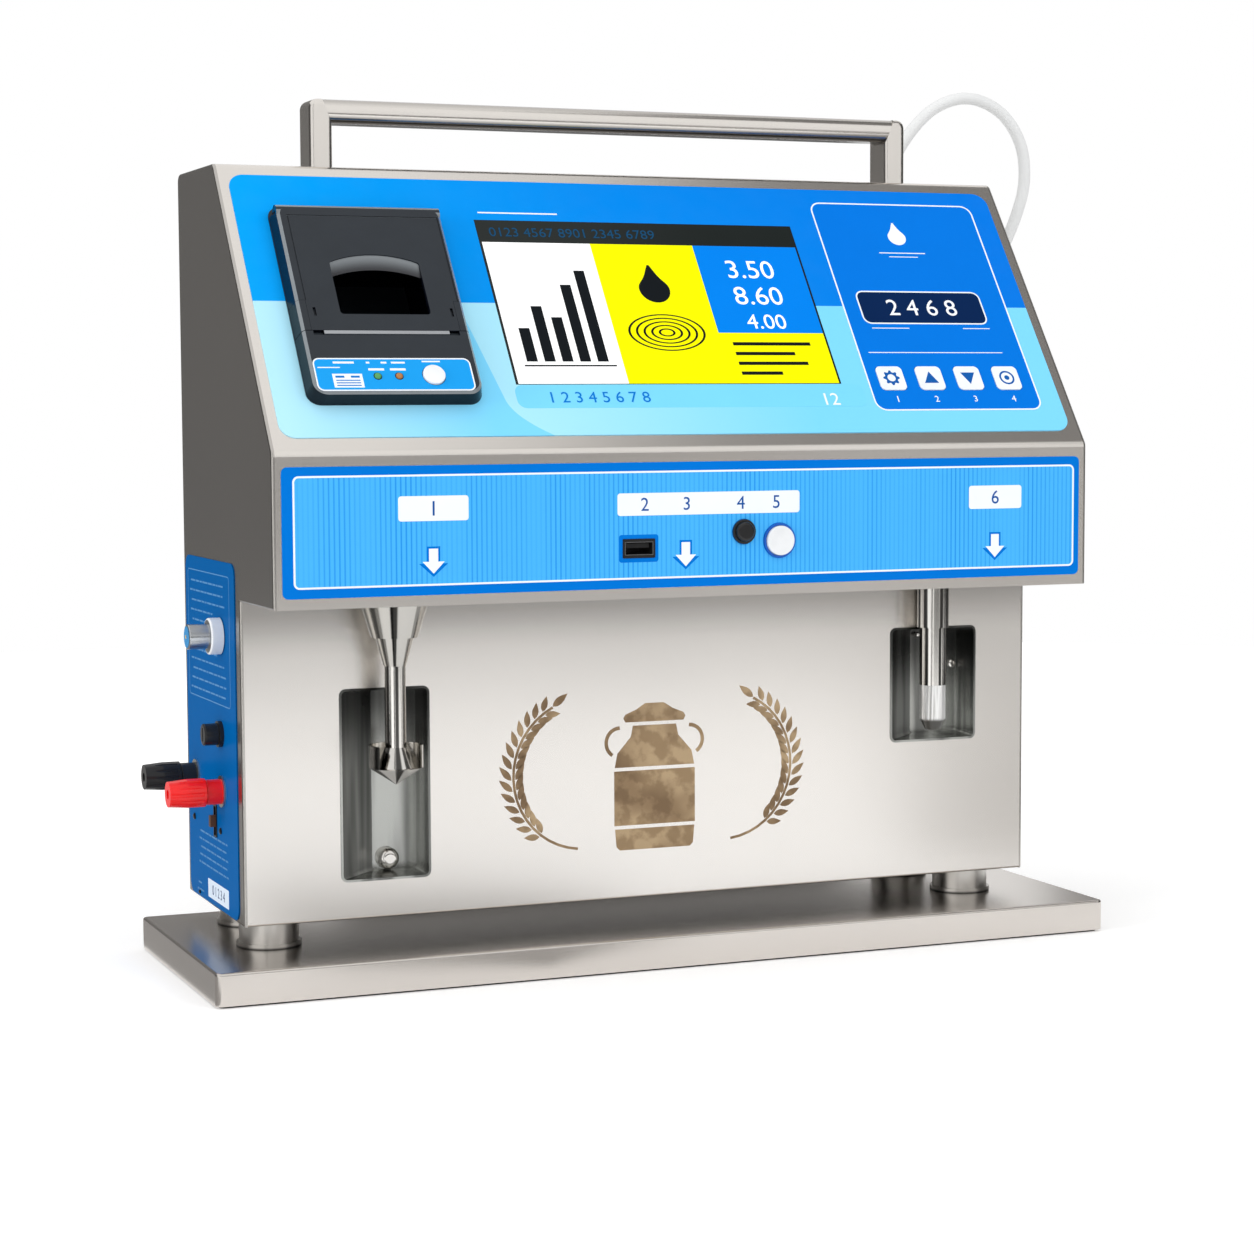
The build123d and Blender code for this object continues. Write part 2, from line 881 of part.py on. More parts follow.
# Screen, board and keys
def make_screen():
    centre = screen_low + screen_height / 2
    glass = slab(slope, screen_x, centre, screen_width, screen_height, -sheet, film)
    frame_width = 2 * screen_frame_half
    frame_height = screen_height + 2 * screen_frame_border
    frame_back = -sheet - screen_frame_thick
    frame = slab(slope, screen_x, centre, frame_width, frame_height, frame_back, -sheet, 2.0)
    keep("lcd_module", glass, frame)

    board_top = frame_back - board_gap
    board = slab(
        slope, screen_x, centre, board_width, board_height, board_top - board_thick, board_top, 3.0
    )
    for dx in (-1, 1):
        for dy in (-1, 1):
            x = screen_x + dx * (board_width / 2 - 6)
            y = centre + dy * (board_height / 2 - 6)
            board += peg(slope, x, y, 3.0, board_top, frame_back)
    chips = [(-40, 10, 24, 24, 2.5), (5, -12, 16, 22, 3.0), (38, 14, 30, 14, 7.0), (40, -18, 18, 18, 2.5)]
    for dx, dy, width, height, tall in chips:
        low = board_top - board_thick
        board += slab(slope, screen_x + dx, centre + dy, width, height, low - tall, low)
    keep("main_board", board)


def key_x(i):
    return key_first_x + i * key_pitch


def key_pad(i, low, high, clearance=0.0):
    size = key_size + 2 * clearance
    return slab(slope, key_x(i), key_height, size, size, low, high, key_radius + clearance)


def make_keys():
    for i, name in enumerate(key_names):
        pad = key_pad(i, -sheet, film + key_proud)
        keep(name, eased(pad, slope, key_proud * 0.6))
    board_top = -key_board_depth
    board_height = key_size + key_board_margin
    board = slab(
        slope,
        key_middle_x,
        key_height,
        2 * key_board_half,
        board_height,
        board_top - key_board_thick,
        board_top,
    )
    for dx in (-key_post_reach, key_post_reach):
        board += peg(slope, key_middle_x + dx, key_height, key_post_radius, board_top, -sheet)
    for i in range(len(key_names)):
        board += slab(
            slope,
            key_x(i),
            key_height,
            key_switch_size,
            key_switch_size,
            board_top,
            -sheet - key_travel - 0.1,
        )
    keep("key_board", board)


# Printer, in the slope's own frame: x from the printer's middle, height up the slope, depth out of it
printer_plane = Plane(
    origin=slope.from_local_coords((printer_x, 0, 0)), x_dir=(1, 0, 0), z_dir=slope.z_dir
)
printer_centre = printer_low + printer_height / 2
flange_top = film + printer_flange
hinge_height = printer_low + printer_height - hinge_setback - lid_barrel_radius
hinge_depth = printer_face - lid_barrel_radius
lid_low = printer_split + printer_seam
bay_half = printer_box_half - printer_wall


def printer_opening(low, high):
    bay_bottom = printer_low + printer_box_lift
    bay_top = bay_high + printer_wall
    width = 2 * printer_box_half + 2 * screen_clearance
    return slab(
        printer_plane,
        0,
        (bay_bottom + bay_top) / 2,
        width,
        bay_top - bay_bottom + 2 * screen_clearance,
        low,
        high,
    )


def rod(x0, x1, height, depth, radius):
    """A round piece along X at a place of the printer, x from its middle."""
    centre = printer_plane.from_local_coords((0, height, depth))
    circle = Pos(centre.Y, centre.Z) * Circle(radius)
    return extrude(Plane.YZ.offset(printer_x + x0) * circle, amount=x1 - x0)


def body_outline(share, edge=0.0):
    """The printer's outline at a share of its height, drawn in by its draft and its edge."""
    low = printer_low + printer_draft_low * share + edge
    high = printer_low + printer_height - printer_draft_high * share - edge
    width = printer_width - 2 * printer_draft_x * share - 2 * edge
    return Pos(0, (low + high) / 2) * RectangleRounded(width, high - low, printer_corner_radius - edge)


def printer_body():
    """The whole outside above the flange, drawn in towards its bevelled face."""
    sections = [
        printer_plane.offset(flange_top) * body_outline(0.05),
        printer_plane.offset(printer_face - printer_edge) * body_outline(1.0),
        printer_plane.offset(printer_face) * body_outline(1.0, printer_edge),
    ]
    return loft(sections, ruled=True)


def printer_box(x0, x1, h0, h1, d0, d1):
    return slab(printer_plane, (x0 + x1) / 2, (h0 + h1) / 2, x1 - x0, h1 - h0, d0, d1)


def ear(x):
    """A hinge ear on the flange."""
    part = rod(x - ear_width / 2, x + ear_width / 2, hinge_height, hinge_depth, ear_radius)
    part += printer_box(
        x - ear_width / 2,
        x + ear_width / 2,
        hinge_height - ear_neck / 2,
        hinge_height + ear_neck / 2,
        film,
        hinge_depth,
    )
    return part


def window_outline():
    """The lid's window: straight sides and an arched top."""
    left_x, right_x = window_x - window_half, window_x + window_half
    corners = [
        (right_x, window_high),
        (right_x, window_low),
        (left_x, window_low),
        (left_x, window_high),
    ]
    arch = ThreePointArc(
        (left_x, window_high), (window_x, window_high + window_arch), (right_x, window_high)
    )
    face = make_face([*Polyline(*corners).edges(), arch])
    return fillet(near(face.vertices(), corners), window_radius)


def visor_strip(shift, half, thick):
    """One cross-section of the curved lip that leads down into the window."""
    x0, x1 = window_x - half, window_x + half
    low = window_high + shift
    high = low + thick
    upper = ThreePointArc((x0, high), (window_x, high + window_arch), (x1, high))
    lower = ThreePointArc((x0, low), (window_x, low + window_arch), (x1, low))
    ends = [Line((x, low), (x, high)) for x in (x0, x1)]
    return make_face([upper, lower, *ends])


def make_printer():
    body = printer_body()
    half = printer_width / 2
    face_half = half - printer_draft_x
    bay_bottom = printer_low + printer_box_lift
    bay_top = bay_high + printer_wall

    base = slab(
        printer_plane,
        0,
        printer_centre,
        printer_width,
        printer_height,
        film,
        flange_top,
        printer_corner_radius,
    )
    lower = printer_box(-half, half, printer_low, printer_split, flange_top, printer_face)
    base += body & lower
    base += printer_box(
        -printer_box_half,
        printer_box_half,
        bay_bottom,
        bay_top,
        -printer_depth,
        flange_top,
    )
    base -= printer_box(
        -bay_half, bay_half, bay_low, bay_high, printer_wall - printer_depth, flange_top + 1
    )
    base -= printer_box(
        -bay_half,
        bay_half,
        bay_bottom + printer_wall,
        bay_low - 4,
        printer_wall - printer_depth,
        printer_face - lid_wall,
    )
    base -= printer_box(
        -bay_half, bay_half, bay_low - 5, bay_low, -head_depth, printer_face - lid_wall
    )
    for sign in (-1, 1):
        x0, x1 = sorted((sign * tear_bar_half, sign * (tear_bar_half + tear_slot)))
        slot_low = printer_face - lid_wall + 0.5
        base -= printer_box(x0, x1, printer_split - 2.2, printer_split + 1, slot_low, printer_face + 1)
        base += ear(sign * ear_offset)
    base -= rod(-half, half, hinge_height, hinge_depth, lid_pin_radius + pin_clearance)
    base -= peg(
        printer_plane,
        feed_button_x,
        feed_button_height,
        feed_button_radius + button_clearance,
        0,
        printer_face + 1,
    )
    for x in light_xs:
        base -= peg(printer_plane, x, light_height, light_radius + screw_clearance, 0, printer_face + 1)
    keep("printer_base", base)

    upper = printer_box(
        -half, half, lid_low, hinge_height, flange_top + printer_seam, printer_face + 1
    )
    lid = body & upper
    lid += rod(-face_half, face_half, hinge_height, hinge_depth, lid_barrel_radius)
    lid -= printer_box(
        lid_wall - face_half,
        face_half - lid_wall,
        lid_low + lid_wall,
        hinge_height - lid_barrel_radius - lid_wall,
        0,
        printer_face - lid_wall,
    )
    lid -= rise(printer_plane, window_outline(), 0, printer_face + 1)
    reach = window_half + visor_lap
    visor = loft(
        [
            printer_plane.offset(printer_face - visor_depth) * visor_strip(-visor_drop, reach, visor_wall),
            printer_plane.offset(printer_face - 0.4) * visor_strip(visor_lap, reach, visor_wall),
        ],
        ruled=True,
    )
    lid += visor
    for x in (-ear_offset, ear_offset):
        gap = ear_width / 2 + printer_seam
        lid -= printer_box(
            x - gap,
            x + gap,
            hinge_height - ear_radius - printer_seam,
            hinge_height + 2 * lid_barrel_radius,
            0,
            hinge_depth + ear_radius + printer_seam,
        )
    lid -= rod(-half, half, hinge_height, hinge_depth, lid_pin_radius + screw_clearance / 2)
    platen_height = bay_low - 1 + platen_radius + platen_gap
    platen_depth = -3.5
    for sign in (-1, 1):
        x0, x1 = sorted((sign * (platen_half + 1.2), sign * (platen_half + 3.2)))
        lid += printer_box(
            x0, x1, lid_low + lid_wall, platen_height + 4, platen_depth - 4, printer_face - lid_wall
        )
    lid -= rod(-half, half, platen_height, platen_depth, platen_shaft_radius + pin_clearance)
    groove_low = printer_face - lid_groove
    groove_end = lid_low + tab_height
    for x in (-lid_groove_left, lid_groove_right):
        lid -= printer_box(x - 0.25, x + 0.25, groove_end, lid_groove_top, groove_low, printer_face + 1)
    lid -= printer_box(
        -lid_groove_left,
        lid_groove_right,
        lid_groove_top - 0.4,
        lid_groove_top,
        groove_low,
        printer_face + 1,
    )
    for x in lid_slit_xs:
        low, high = lid_slit_height - 2.2, lid_slit_height + 2.2
        lid -= printer_box(x - 0.6, x + 0.6, low, high, printer_face - 1.2, printer_face + 1)
    tabs = []
    for sign in (-1, 1):
        x0, x1 = sorted((sign * (face_half - tab_width), sign * (half + 1)))
        corner = printer_box(x0, x1, lid_low, lid_low + tab_height, 0, printer_face + 1)
        tabs.append((lid & corner).solids().sort_by(SortBy.VOLUME)[-1])
        gap = screw_clearance
        x0, x1 = sorted((sign * (face_half - tab_width - gap), sign * (half + 1)))
        lid -= printer_box(x0, x1, lid_low - 1, lid_low + tab_height + gap, 0, printer_face + 1)
    keep("printer_lid", lid, *tabs)
    pin_half = face_half - lid_wall
    keep("lid_hinge_pin", rod(-pin_half, pin_half, hinge_height, hinge_depth, lid_pin_radius))

    platen = rod(-platen_half, platen_half, platen_height, platen_depth, platen_radius)
    platen += rod(-platen_half - 3.2, platen_half + 3.2, platen_height, platen_depth, platen_shaft_radius)
    keep("platen_roller", platen)

    head = printer_box(
        -platen_half, platen_half, bay_low - 1 - head_thick, bay_low - 1, -head_depth, 0.5
    )
    bar = printer_box(
        -tear_bar_half,
        tear_bar_half,
        printer_split - 1.8,
        printer_split - 0.1,
        printer_face,
        printer_face + 0.3,
    )
    keep("print_head", head, bar)

    roll_height = bay_low + roll_gap + roll_radius
    roll_depth = printer_wall - printer_depth + roll_gap + roll_radius
    roll = rod(-roll_half, roll_half, roll_height, roll_depth, roll_radius)
    roll -= rod(-roll_half, roll_half, roll_height, roll_depth, roll_core_radius)
    keep("paper_roll", roll)

    button_top = printer_face + feed_button_proud
    button = peg(
        printer_plane, feed_button_x, feed_button_height, feed_button_radius, printer_face - 4, button_top
    )
    keep("feed_button", eased(button, slope, 0.4))
    lights = []
    for x in light_xs:
        light = peg(
            printer_plane, x, light_height, light_radius, printer_face - lid_wall, printer_face + 0.8
        )
        lights.append(eased(light, slope, 0.7))
    keep("printer_lights", *lights)


# Band controls
band_buttons = [
    (pump_button_x, pump_button_z, pump_button_radius + button_clearance),
    (stop_button_x, stop_button_z, stop_button_radius + button_clearance),
]


def push_button(x, z, radius, proud, rounding):
    return eased(peg(band, x, z, radius, -button_depth, film + proud), band, rounding)


def make_band():
    socket = slab(band, usb_x, usb_z, usb_width, usb_height, -usb_depth, film + 0.3, 0.6)
    mouth_width = usb_mouth_width + 2 * usb_shell
    mouth_height = usb_mouth_height + 2 * usb_shell
    socket -= slab(band, usb_x, usb_z, mouth_width, mouth_height, 3 - usb_depth, film + 1)
    tongue_z = usb_z + usb_mouth_height / 2 - 0.5 - 0.95
    socket += slab(band, usb_x, tongue_z, 11.2, 1.9, 3 - usb_depth, -1.5)
    lining = slab(band, usb_x, usb_z, mouth_width, mouth_height, 3 - usb_depth, film + 0.2)
    lining -= slab(band, usb_x, usb_z, usb_mouth_width, usb_mouth_height, -usb_depth, film + 1)
    keep("usb_socket", socket, lining)

    bodies = []
    for x, z, radius in band_buttons:
        body = peg(band, x, z, radius + button_rim - 0.1, -switch_depth, film)
        body += peg(band, x, z, radius + button_rim, film, film + button_rim_proud)
        hexagon = Pos(x, z) * RegularPolygon(radius + 3.4, 6)
        body += rise(band, hexagon, -sheet - 2.5, -sheet)
        body -= peg(band, x, z, radius, -button_depth - button_travel - 0.2, film + 5)
        bodies.append(body)
    keep("button_switches", *bodies)
    keep(
        "pump_button",
        push_button(pump_button_x, pump_button_z, pump_button_radius, pump_button_proud, 1.3),
    )
    keep(
        "stop_button",
        push_button(stop_button_x, stop_button_z, stop_button_radius, stop_button_proud, 0.6),
    )


# Sample side
def hex_nut(x, y, bore, low, high):
    nut = rise(Plane.XY, Pos(x, y) * RegularPolygon(nut_radius, 6), low, high)
    return nut - peg(Plane.XY, x, y, bore, low, high)


def make_sample_side():
    bore = pipe_radius + pin_clearance
    cone = turned(
        cone_x,
        cone_y,
        [
            (bore, cone_end_z),
            (cone_end_radius, cone_end_z),
            (cone_lower_radius, cone_step_z),
            (cone_step_radius, cone_step_z),
            (cone_top_radius, underside_z),
            (spigot_radius, underside_z),
            (spigot_radius, spigot_top_z),
            (bore, spigot_top_z),
        ],
    )
    nut_low = underside_z + sheet
    keep("funnel", cone, hex_nut(cone_x, cone_y, spigot_radius + pin_clearance, nut_low, spigot_top_z))

    pipe = peg(Plane.XY, cone_x, cone_y, pipe_radius, guard_rim_z, pipe_top_z)
    pipe -= peg(Plane.XY, cone_x, cone_y, pipe_bore_radius, guard_rim_z, pipe_top_z)
    inner = guard_radius - guard_wall
    guard = turned(
        cone_x,
        cone_y,
        [
            (0, guard_tip_z),
            (guard_radius, guard_rim_z),
            (guard_radius, guard_top_z),
            (inner, guard_top_z),
            (inner, guard_rim_z),
            (pipe_radius, guard_rim_z),
            (pipe_bore_radius, guard_rim_z - 1),
            (0, guard_rim_z - 2),
        ],
    )
    guard -= block(
        cone_x - guard_radius * 0.8,
        cone_x + guard_radius * 0.8,
        cone_y - guard_radius - 1,
        cone_y,
        guard_rim_z,
        guard_top_z + 1,
    )
    skirt_top = guard_top_z - 1
    skirt = turned(
        cone_x,
        cone_y,
        [
            (pipe_radius, guard_rim_z),
            (guard_skirt_radius, guard_rim_z),
            (pipe_radius + 0.2, skirt_top),
            (pipe_radius, skirt_top),
        ],
    )
    keep("sample_pipe", pipe, guard, skirt)

    tube = turned(
        probe_x,
        probe_y,
        [
            (0, probe_end_z),
            (probe_radius, probe_end_z),
            (probe_radius, sleeve_end_z),
            (sleeve_radius, sleeve_end_z),
            (sleeve_radius, underside_z),
            (probe_radius, underside_z),
            (probe_radius, spigot_top_z),
            (0, spigot_top_z),
        ],
    )
    nut = hex_nut(probe_x, probe_y, probe_radius + pin_clearance, nut_low, spigot_top_z)
    keep("probe_tube", tube, nut)

    wall = probe_cup_wall
    cup = turned(
        probe_x,
        probe_y,
        [
            (0, probe_cup_end_z),
            (probe_cup_end_radius, probe_cup_end_z),
            (probe_cup_radius, probe_cup_taper_z),
            (probe_cup_radius, probe_end_z),
            (probe_cup_radius - wall, probe_end_z),
            (probe_cup_radius - wall, probe_cup_taper_z),
            (probe_cup_end_radius - wall, probe_cup_end_z + wall),
            (0, probe_cup_end_z + wall),
        ],
    )
    bulb_z = probe_end_z - bulb_drop
    bulb = Pos(probe_x, probe_y, bulb_z) * Sphere(bulb_radius)
    bulb += peg(Plane.XY, probe_x, probe_y, bulb_radius * 0.6, bulb_z, probe_end_z)
    keep("probe_cup", cup, bulb)


# Side controls
def make_side_controls():
    skirt_top = film + dial_gap + dial_skirt_thick
    skirt = peg(left, -dial_y, dial_z, dial_skirt_radius, film + dial_gap, skirt_top)
    skirt = eased(skirt, left, 0.8)
    skirt -= peg(left, -dial_y, dial_z, dial_shaft_radius, 0, skirt_top)
    body = peg(left, -dial_y, dial_z, dial_radius, skirt_top, film + dial_length)
    body = eased(body, left, 0.6)
    pot_face = -sheet
    body += peg(left, -dial_y, dial_z, dial_shaft_radius, pot_face - 1, skirt_top)
    keep("dial_knob", skirt, body)

    flange = peg(left, -fuse_y, fuse_z, fuse_flange_radius, film, film + fuse_flange_thick)
    flange += peg(left, -fuse_y, fuse_z, fuse_cap_radius - 0.1, -fuse_depth, film)
    flange -= peg(
        left, -fuse_y, fuse_z, fuse_spigot_radius + pin_clearance, 2 - fuse_depth, film + fuse_flange_thick
    )
    keep("fuse_holder", flange)
    cap_low = film + fuse_flange_thick + 0.1
    cap = peg(left, -fuse_y, fuse_z, fuse_cap_radius, cap_low, cap_low + fuse_cap_length)
    cap = eased(cap, left, 0.6)
    cap -= slab(left, -fuse_y, fuse_z, 1.2, 6.0, cap_low + fuse_cap_length - 1.2, cap_low + 10)
    cap += peg(left, -fuse_y, fuse_z, fuse_spigot_radius, 4 - fuse_depth, cap_low)
    keep("fuse_cap", cap)

    for name, y, z in (("red", red_post_y, red_post_z), ("black", black_post_y, black_post_z)):
        washer_top = film + post_washer_thick
        collar_top = washer_top + post_collar_length
        bore = post_stud_radius
        washer = peg(left, -y, z, post_washer_radius, film, washer_top) - peg(left, -y, z, bore, 0, 5)
        collar = peg(left, -y, z, post_collar_radius, washer_top, collar_top)
        collar = eased(collar, left, 0.5) - peg(left, -y, z, bore, 0, 20)
        stud = peg(left, -y, z, bore, -post_inner_length, collar_top + 9)
        nut = rise(left, Pos(-y, z) * RegularPolygon(5.0, 6), -sheet - 3.2, -sheet)
        keep(f"{name}_post_base", collar, washer, stud + nut)

        cap_low = collar_top + post_cap_gap
        cap_face = make_face(
            Polyline(
                (post_stud_radius + pin_clearance, cap_low),
                (post_cap_radius, cap_low),
                (post_cap_radius, cap_low + post_cap_length * 0.5),
                (post_cap_tip_radius, cap_low + post_cap_length),
                (post_stud_radius + pin_clearance, cap_low + post_cap_length),
                close=True,
            )
        )
        axis_plane = Plane(origin=(-cabinet_half, y, z), x_dir=(0, 0, 1), z_dir=(0, -1, 0))
        cap = revolve(axis_plane * cap_face, axis=Axis((0, y, z), (1, 0, 0)))
        for i in range(post_flutes):
            turn = 2 * math.pi * i / post_flutes
            fx = -y + (post_cap_radius + 0.35) * math.cos(turn)
            fz = z + (post_cap_radius + 0.35) * math.sin(turn)
            cap -= peg(left, fx, fz, 0.8, cap_low + 1.2, cap_low + post_cap_length * 0.72)
        keep(f"{name}_post_cap", cap)

    pot = peg(left, -dial_y, dial_z, dial_body_radius, pot_face - dial_body_depth, pot_face)
    pot -= peg(left, -dial_y, dial_z, dial_shaft_radius + pin_clearance, pot_face - 2, pot_face)
    switch_back = -sheet - slider_body_depth
    switch = slab(left, -slider_y, slider_z, slider_width, slider_height, switch_back, film + 0.5)
    groove = slider_knob_height + 2 * slider_travel + 2 * slider_gap
    groove_width = slider_knob_width + 2 * slider_gap
    switch -= slab(left, -slider_y, slider_z, groove_width, groove, -2 * sheet, film + 1)
    keep("side_controls", pot, switch)
    knob = slab(
        left,
        -slider_y,
        slider_z,
        slider_knob_width,
        slider_knob_height,
        slider_gap - 2 * sheet,
        film + slider_knob_proud,
    )
    keep("slide_knob", knob)


# Inside the cabinet
def make_inside():
    low = spigot_top_z
    x0, x1 = cone_x - sensor_width / 2, cone_x + sensor_width / 2
    y0, y1 = cone_y - sensor_depth / 2, cone_y + sensor_depth / 2
    sensor = block(x0, x1, y0, y1, low, low + sensor_height)
    sensor = fillet(sensor.edges().filter_by(Axis.Z), 3.0)
    sensor -= peg(Plane.XY, cone_x, cone_y, pipe_radius + pin_clearance, low, pipe_top_z + 0.3)
    port_plane = Plane(origin=(cone_x, y1, sensor_port_z), x_dir=(-1, 0, 0), z_dir=(0, 1, 0))
    sensor += peg(port_plane, 0, 0, barb_radius, 0, barb_length)
    middle_z = low + sensor_height / 2
    ends = Plane.YZ
    left_end = peg(ends, cone_y, middle_z, transducer_radius, x0 - transducer_length, x0)
    right_end = peg(ends, cone_y, middle_z, transducer_radius, x1, x1 + transducer_length)
    keep("sensor_block", sensor, left_end, right_end)

    pump_plane = Plane(origin=(pump_x, pump_mid_y, pump_z), x_dir=(-1, 0, 0), z_dir=(0, 1, 0))
    depth = pump_cavity_depth / 2
    head = slab(
        pump_plane, 0, 0, 2 * pump_head_half, 2 * pump_head_half, -depth, depth + pump_plate, 5.0
    )
    head -= peg(pump_plane, 0, 0, pump_cavity_radius, -depth, depth)
    for sign in (-1, 1):
        head -= slab(
            pump_plane,
            sign * tube_track_radius,
            pump_head_half / 2 + 1,
            2 * (pump_cavity_radius - tube_track_radius) + 0.4,
            pump_head_half + 2,
            -depth,
            depth,
        )
    head -= peg(pump_plane, 0, 0, rotor_shaft_radius + pin_clearance, depth, depth + pump_plate)
    plate_front = pump_mid_y + depth
    floor_top = cabinet_bottom_z + sheet
    head += block(
        pump_x - pump_foot_half,
        pump_x + pump_foot_half,
        plate_front,
        plate_front + pump_plate,
        floor_top,
        pump_z - pump_head_half,
    )
    head += block(
        pump_x - pump_foot_half,
        pump_x + pump_foot_half,
        plate_front,
        plate_front + pump_foot_depth,
        floor_top,
        floor_top + pump_foot,
    )
    keep("pump_head", head)
    motor = peg(
        pump_plane, 0, 0, motor_radius, depth + pump_plate, depth + pump_plate + motor_length
    )
    motor -= peg(
        pump_plane, 0, 0, rotor_shaft_radius + pin_clearance, depth, depth + pump_plate + 8
    )
    keep("pump_motor", motor)

    rotor_low = -rotor_thick / 2
    rotor = peg(pump_plane, 0, 0, rotor_hub_radius, rotor_low, -rotor_low)
    rotor += peg(pump_plane, 0, 0, rotor_shaft_radius, 0, depth + pump_plate + 7)
    spider_radius = roller_circle + 1.6
    rollers = []
    for side in (rotor_low, -rotor_low):
        low_face, high_face = sorted((side, side * 1.25))
        rotor += peg(pump_plane, 0, 0, spider_radius, low_face, high_face)
    for i in range(roller_count):
        turn = 2 * math.pi * i / roller_count
        x, y = roller_circle * math.cos(turn), roller_circle * math.sin(turn)
        roller = peg(pump_plane, x, y, roller_radius, rotor_low, -rotor_low)
        roller_room = peg(pump_plane, x, y, roller_radius + 0.1, rotor_low, -rotor_low)
        rotor -= roller_room
        rollers.append(roller)
    keep("pump_rotor", rotor, *rollers)

    track_left = pump_x - tube_track_radius
    track_right = pump_x + tube_track_radius
    start_y = y1 + barb_length
    entry = FilletPolyline(
        (cone_x, start_y, sensor_port_z),
        (cone_x, pump_mid_y, sensor_port_z),
        (track_left, pump_mid_y, sensor_port_z),
        (track_left, pump_mid_y, pump_z),
        radius=tube_bend,
    )
    turn = ThreePointArc(
        (track_left, pump_mid_y, pump_z),
        (pump_x, pump_mid_y, pump_z - tube_track_radius),
        (track_right, pump_mid_y, pump_z),
    )
    leave = FilletPolyline(
        (track_right, pump_mid_y, pump_z),
        (track_right, pump_mid_y, tube_high_z),
        (track_right, tube_back_y, tube_high_z),
        (upper_fitting_x, tube_back_y, tube_high_z),
        (upper_fitting_x, tube_back_y, upper_fitting_z),
        (upper_fitting_x, cabinet_back_y - 2 * sheet - barb_length, upper_fitting_z),
        radius=tube_bend - 2,
    )
    path = Wire([*entry.edges(), turn, *leave.edges()])
    section = Plane(origin=(cone_x, start_y, sensor_port_z), z_dir=(0, 1, 0)) * Circle(tube_radius)
    outlet = sweep(section, path=path)

    drain_end = cabinet_front_y + pocket_depth - pocket_wall + drain_tail
    inner_end = cabinet_back_y - 2 * sheet - barb_length
    back_run = FilletPolyline(
        (drain_x, drain_end, drain_z),
        (drain_x, return_y, drain_z),
        (drain_x, return_y, return_z),
        (lower_fitting_x, return_y, return_z),
        (lower_fitting_x, return_y, lower_fitting_z),
        (lower_fitting_x, inner_end, lower_fitting_z),
        radius=tube_bend - 2,
    )
    drain_section = Plane(origin=(drain_x, drain_end, drain_z), z_dir=(0, 1, 0)) * Circle(tube_radius)
    keep("inner_tube", outlet, sweep(drain_section, path=back_run))

    supply_back = cabinet_back_y - sheet - supply_back_gap
    supply = block(
        supply_x - supply_width / 2,
        supply_x + supply_width / 2,
        supply_back - supply_depth,
        supply_back,
        floor_top,
        floor_top + supply_height,
    )
    supply = fillet(supply.edges().filter_by(Axis.Z), 2.0)
    keep("power_supply", supply)


# Rear
fitting_places = [(upper_fitting_x, upper_fitting_z), (lower_fitting_x, lower_fitting_z)]


def elbow(x, z, turned_up):
    """A bulkhead elbow: inner barb, flange, body and the stub that the hose meets."""
    part = rise(rear, Pos(-x, z) * RegularPolygon(fitting_flange_radius, 6), 0, fitting_flange_thick)
    part += peg(rear, -x, z, fitting_stub_radius, -3 * sheet, 0)
    part += peg(rear, -x, z, barb_radius, -2 * sheet - barb_length, -3 * sheet)
    part += peg(rear, -x, z, fitting_body_radius, fitting_flange_thick, hose_plane_gap)
    corner = Pos(x, hose_y, z) * Sphere(fitting_body_radius)
    direction = (0, 0, 1) if turned_up else (1, 0, 0)
    stub_plane = Plane(origin=(x, hose_y, z), z_dir=direction)
    stub = peg(stub_plane, 0, 0, fitting_stub_radius, 0, fitting_stub_length)
    return part + corner + stub


def hose_route():
    """The free hose's route, from the upper fitting round its loop to the lower one."""
    up_x, up_z = upper_fitting_x, upper_fitting_z + fitting_stub_length
    low_x, low_z = lower_fitting_x + fitting_stub_length, lower_fitting_z
    return [
        (up_x, hose_y, up_z),
        (up_x, hose_y, 349.0),
        (up_x + 8.0, hose_y + 1.0, 368.2),
        (up_x + 19.4, hose_y + 1.8, 385.6),
        (up_x + 34.6, hose_y + 2.4, 399.4),
        (up_x + 53.9, hose_y + 2.6, 404.9),
        (up_x + 73.4, hose_y + 2.4, 398.0),
        (up_x + 85.4, hose_y + 2.0, 381.6),
        (up_x + 87.2, hose_y + 1.6, 361.6),
        (up_x + 81.8, hose_y + 1.2, 344.5),
        (up_x + 74.2, hose_y + 0.8, 328.8),
        (up_x + 65.0, hose_y + 0.4, 314.0),
        (up_x + 52.0, hose_y, 300.4),
        (up_x + 35.8, hose_y, low_z),
        (low_x, hose_y, low_z),
    ]


def arc_radii(points):
    """Radii of a route's arcs: 0.45 of the shorter run over the tangent of half the turn."""
    radii = []
    for a, b, c in zip(points, points[1:], points[2:]):
        first, second = Vector(*b) - Vector(*a), Vector(*c) - Vector(*b)
        turn = math.radians(first.get_angle(second))
        radii.append(0.45 * min(first.length, second.length) / math.tan(turn / 2))
    return radii


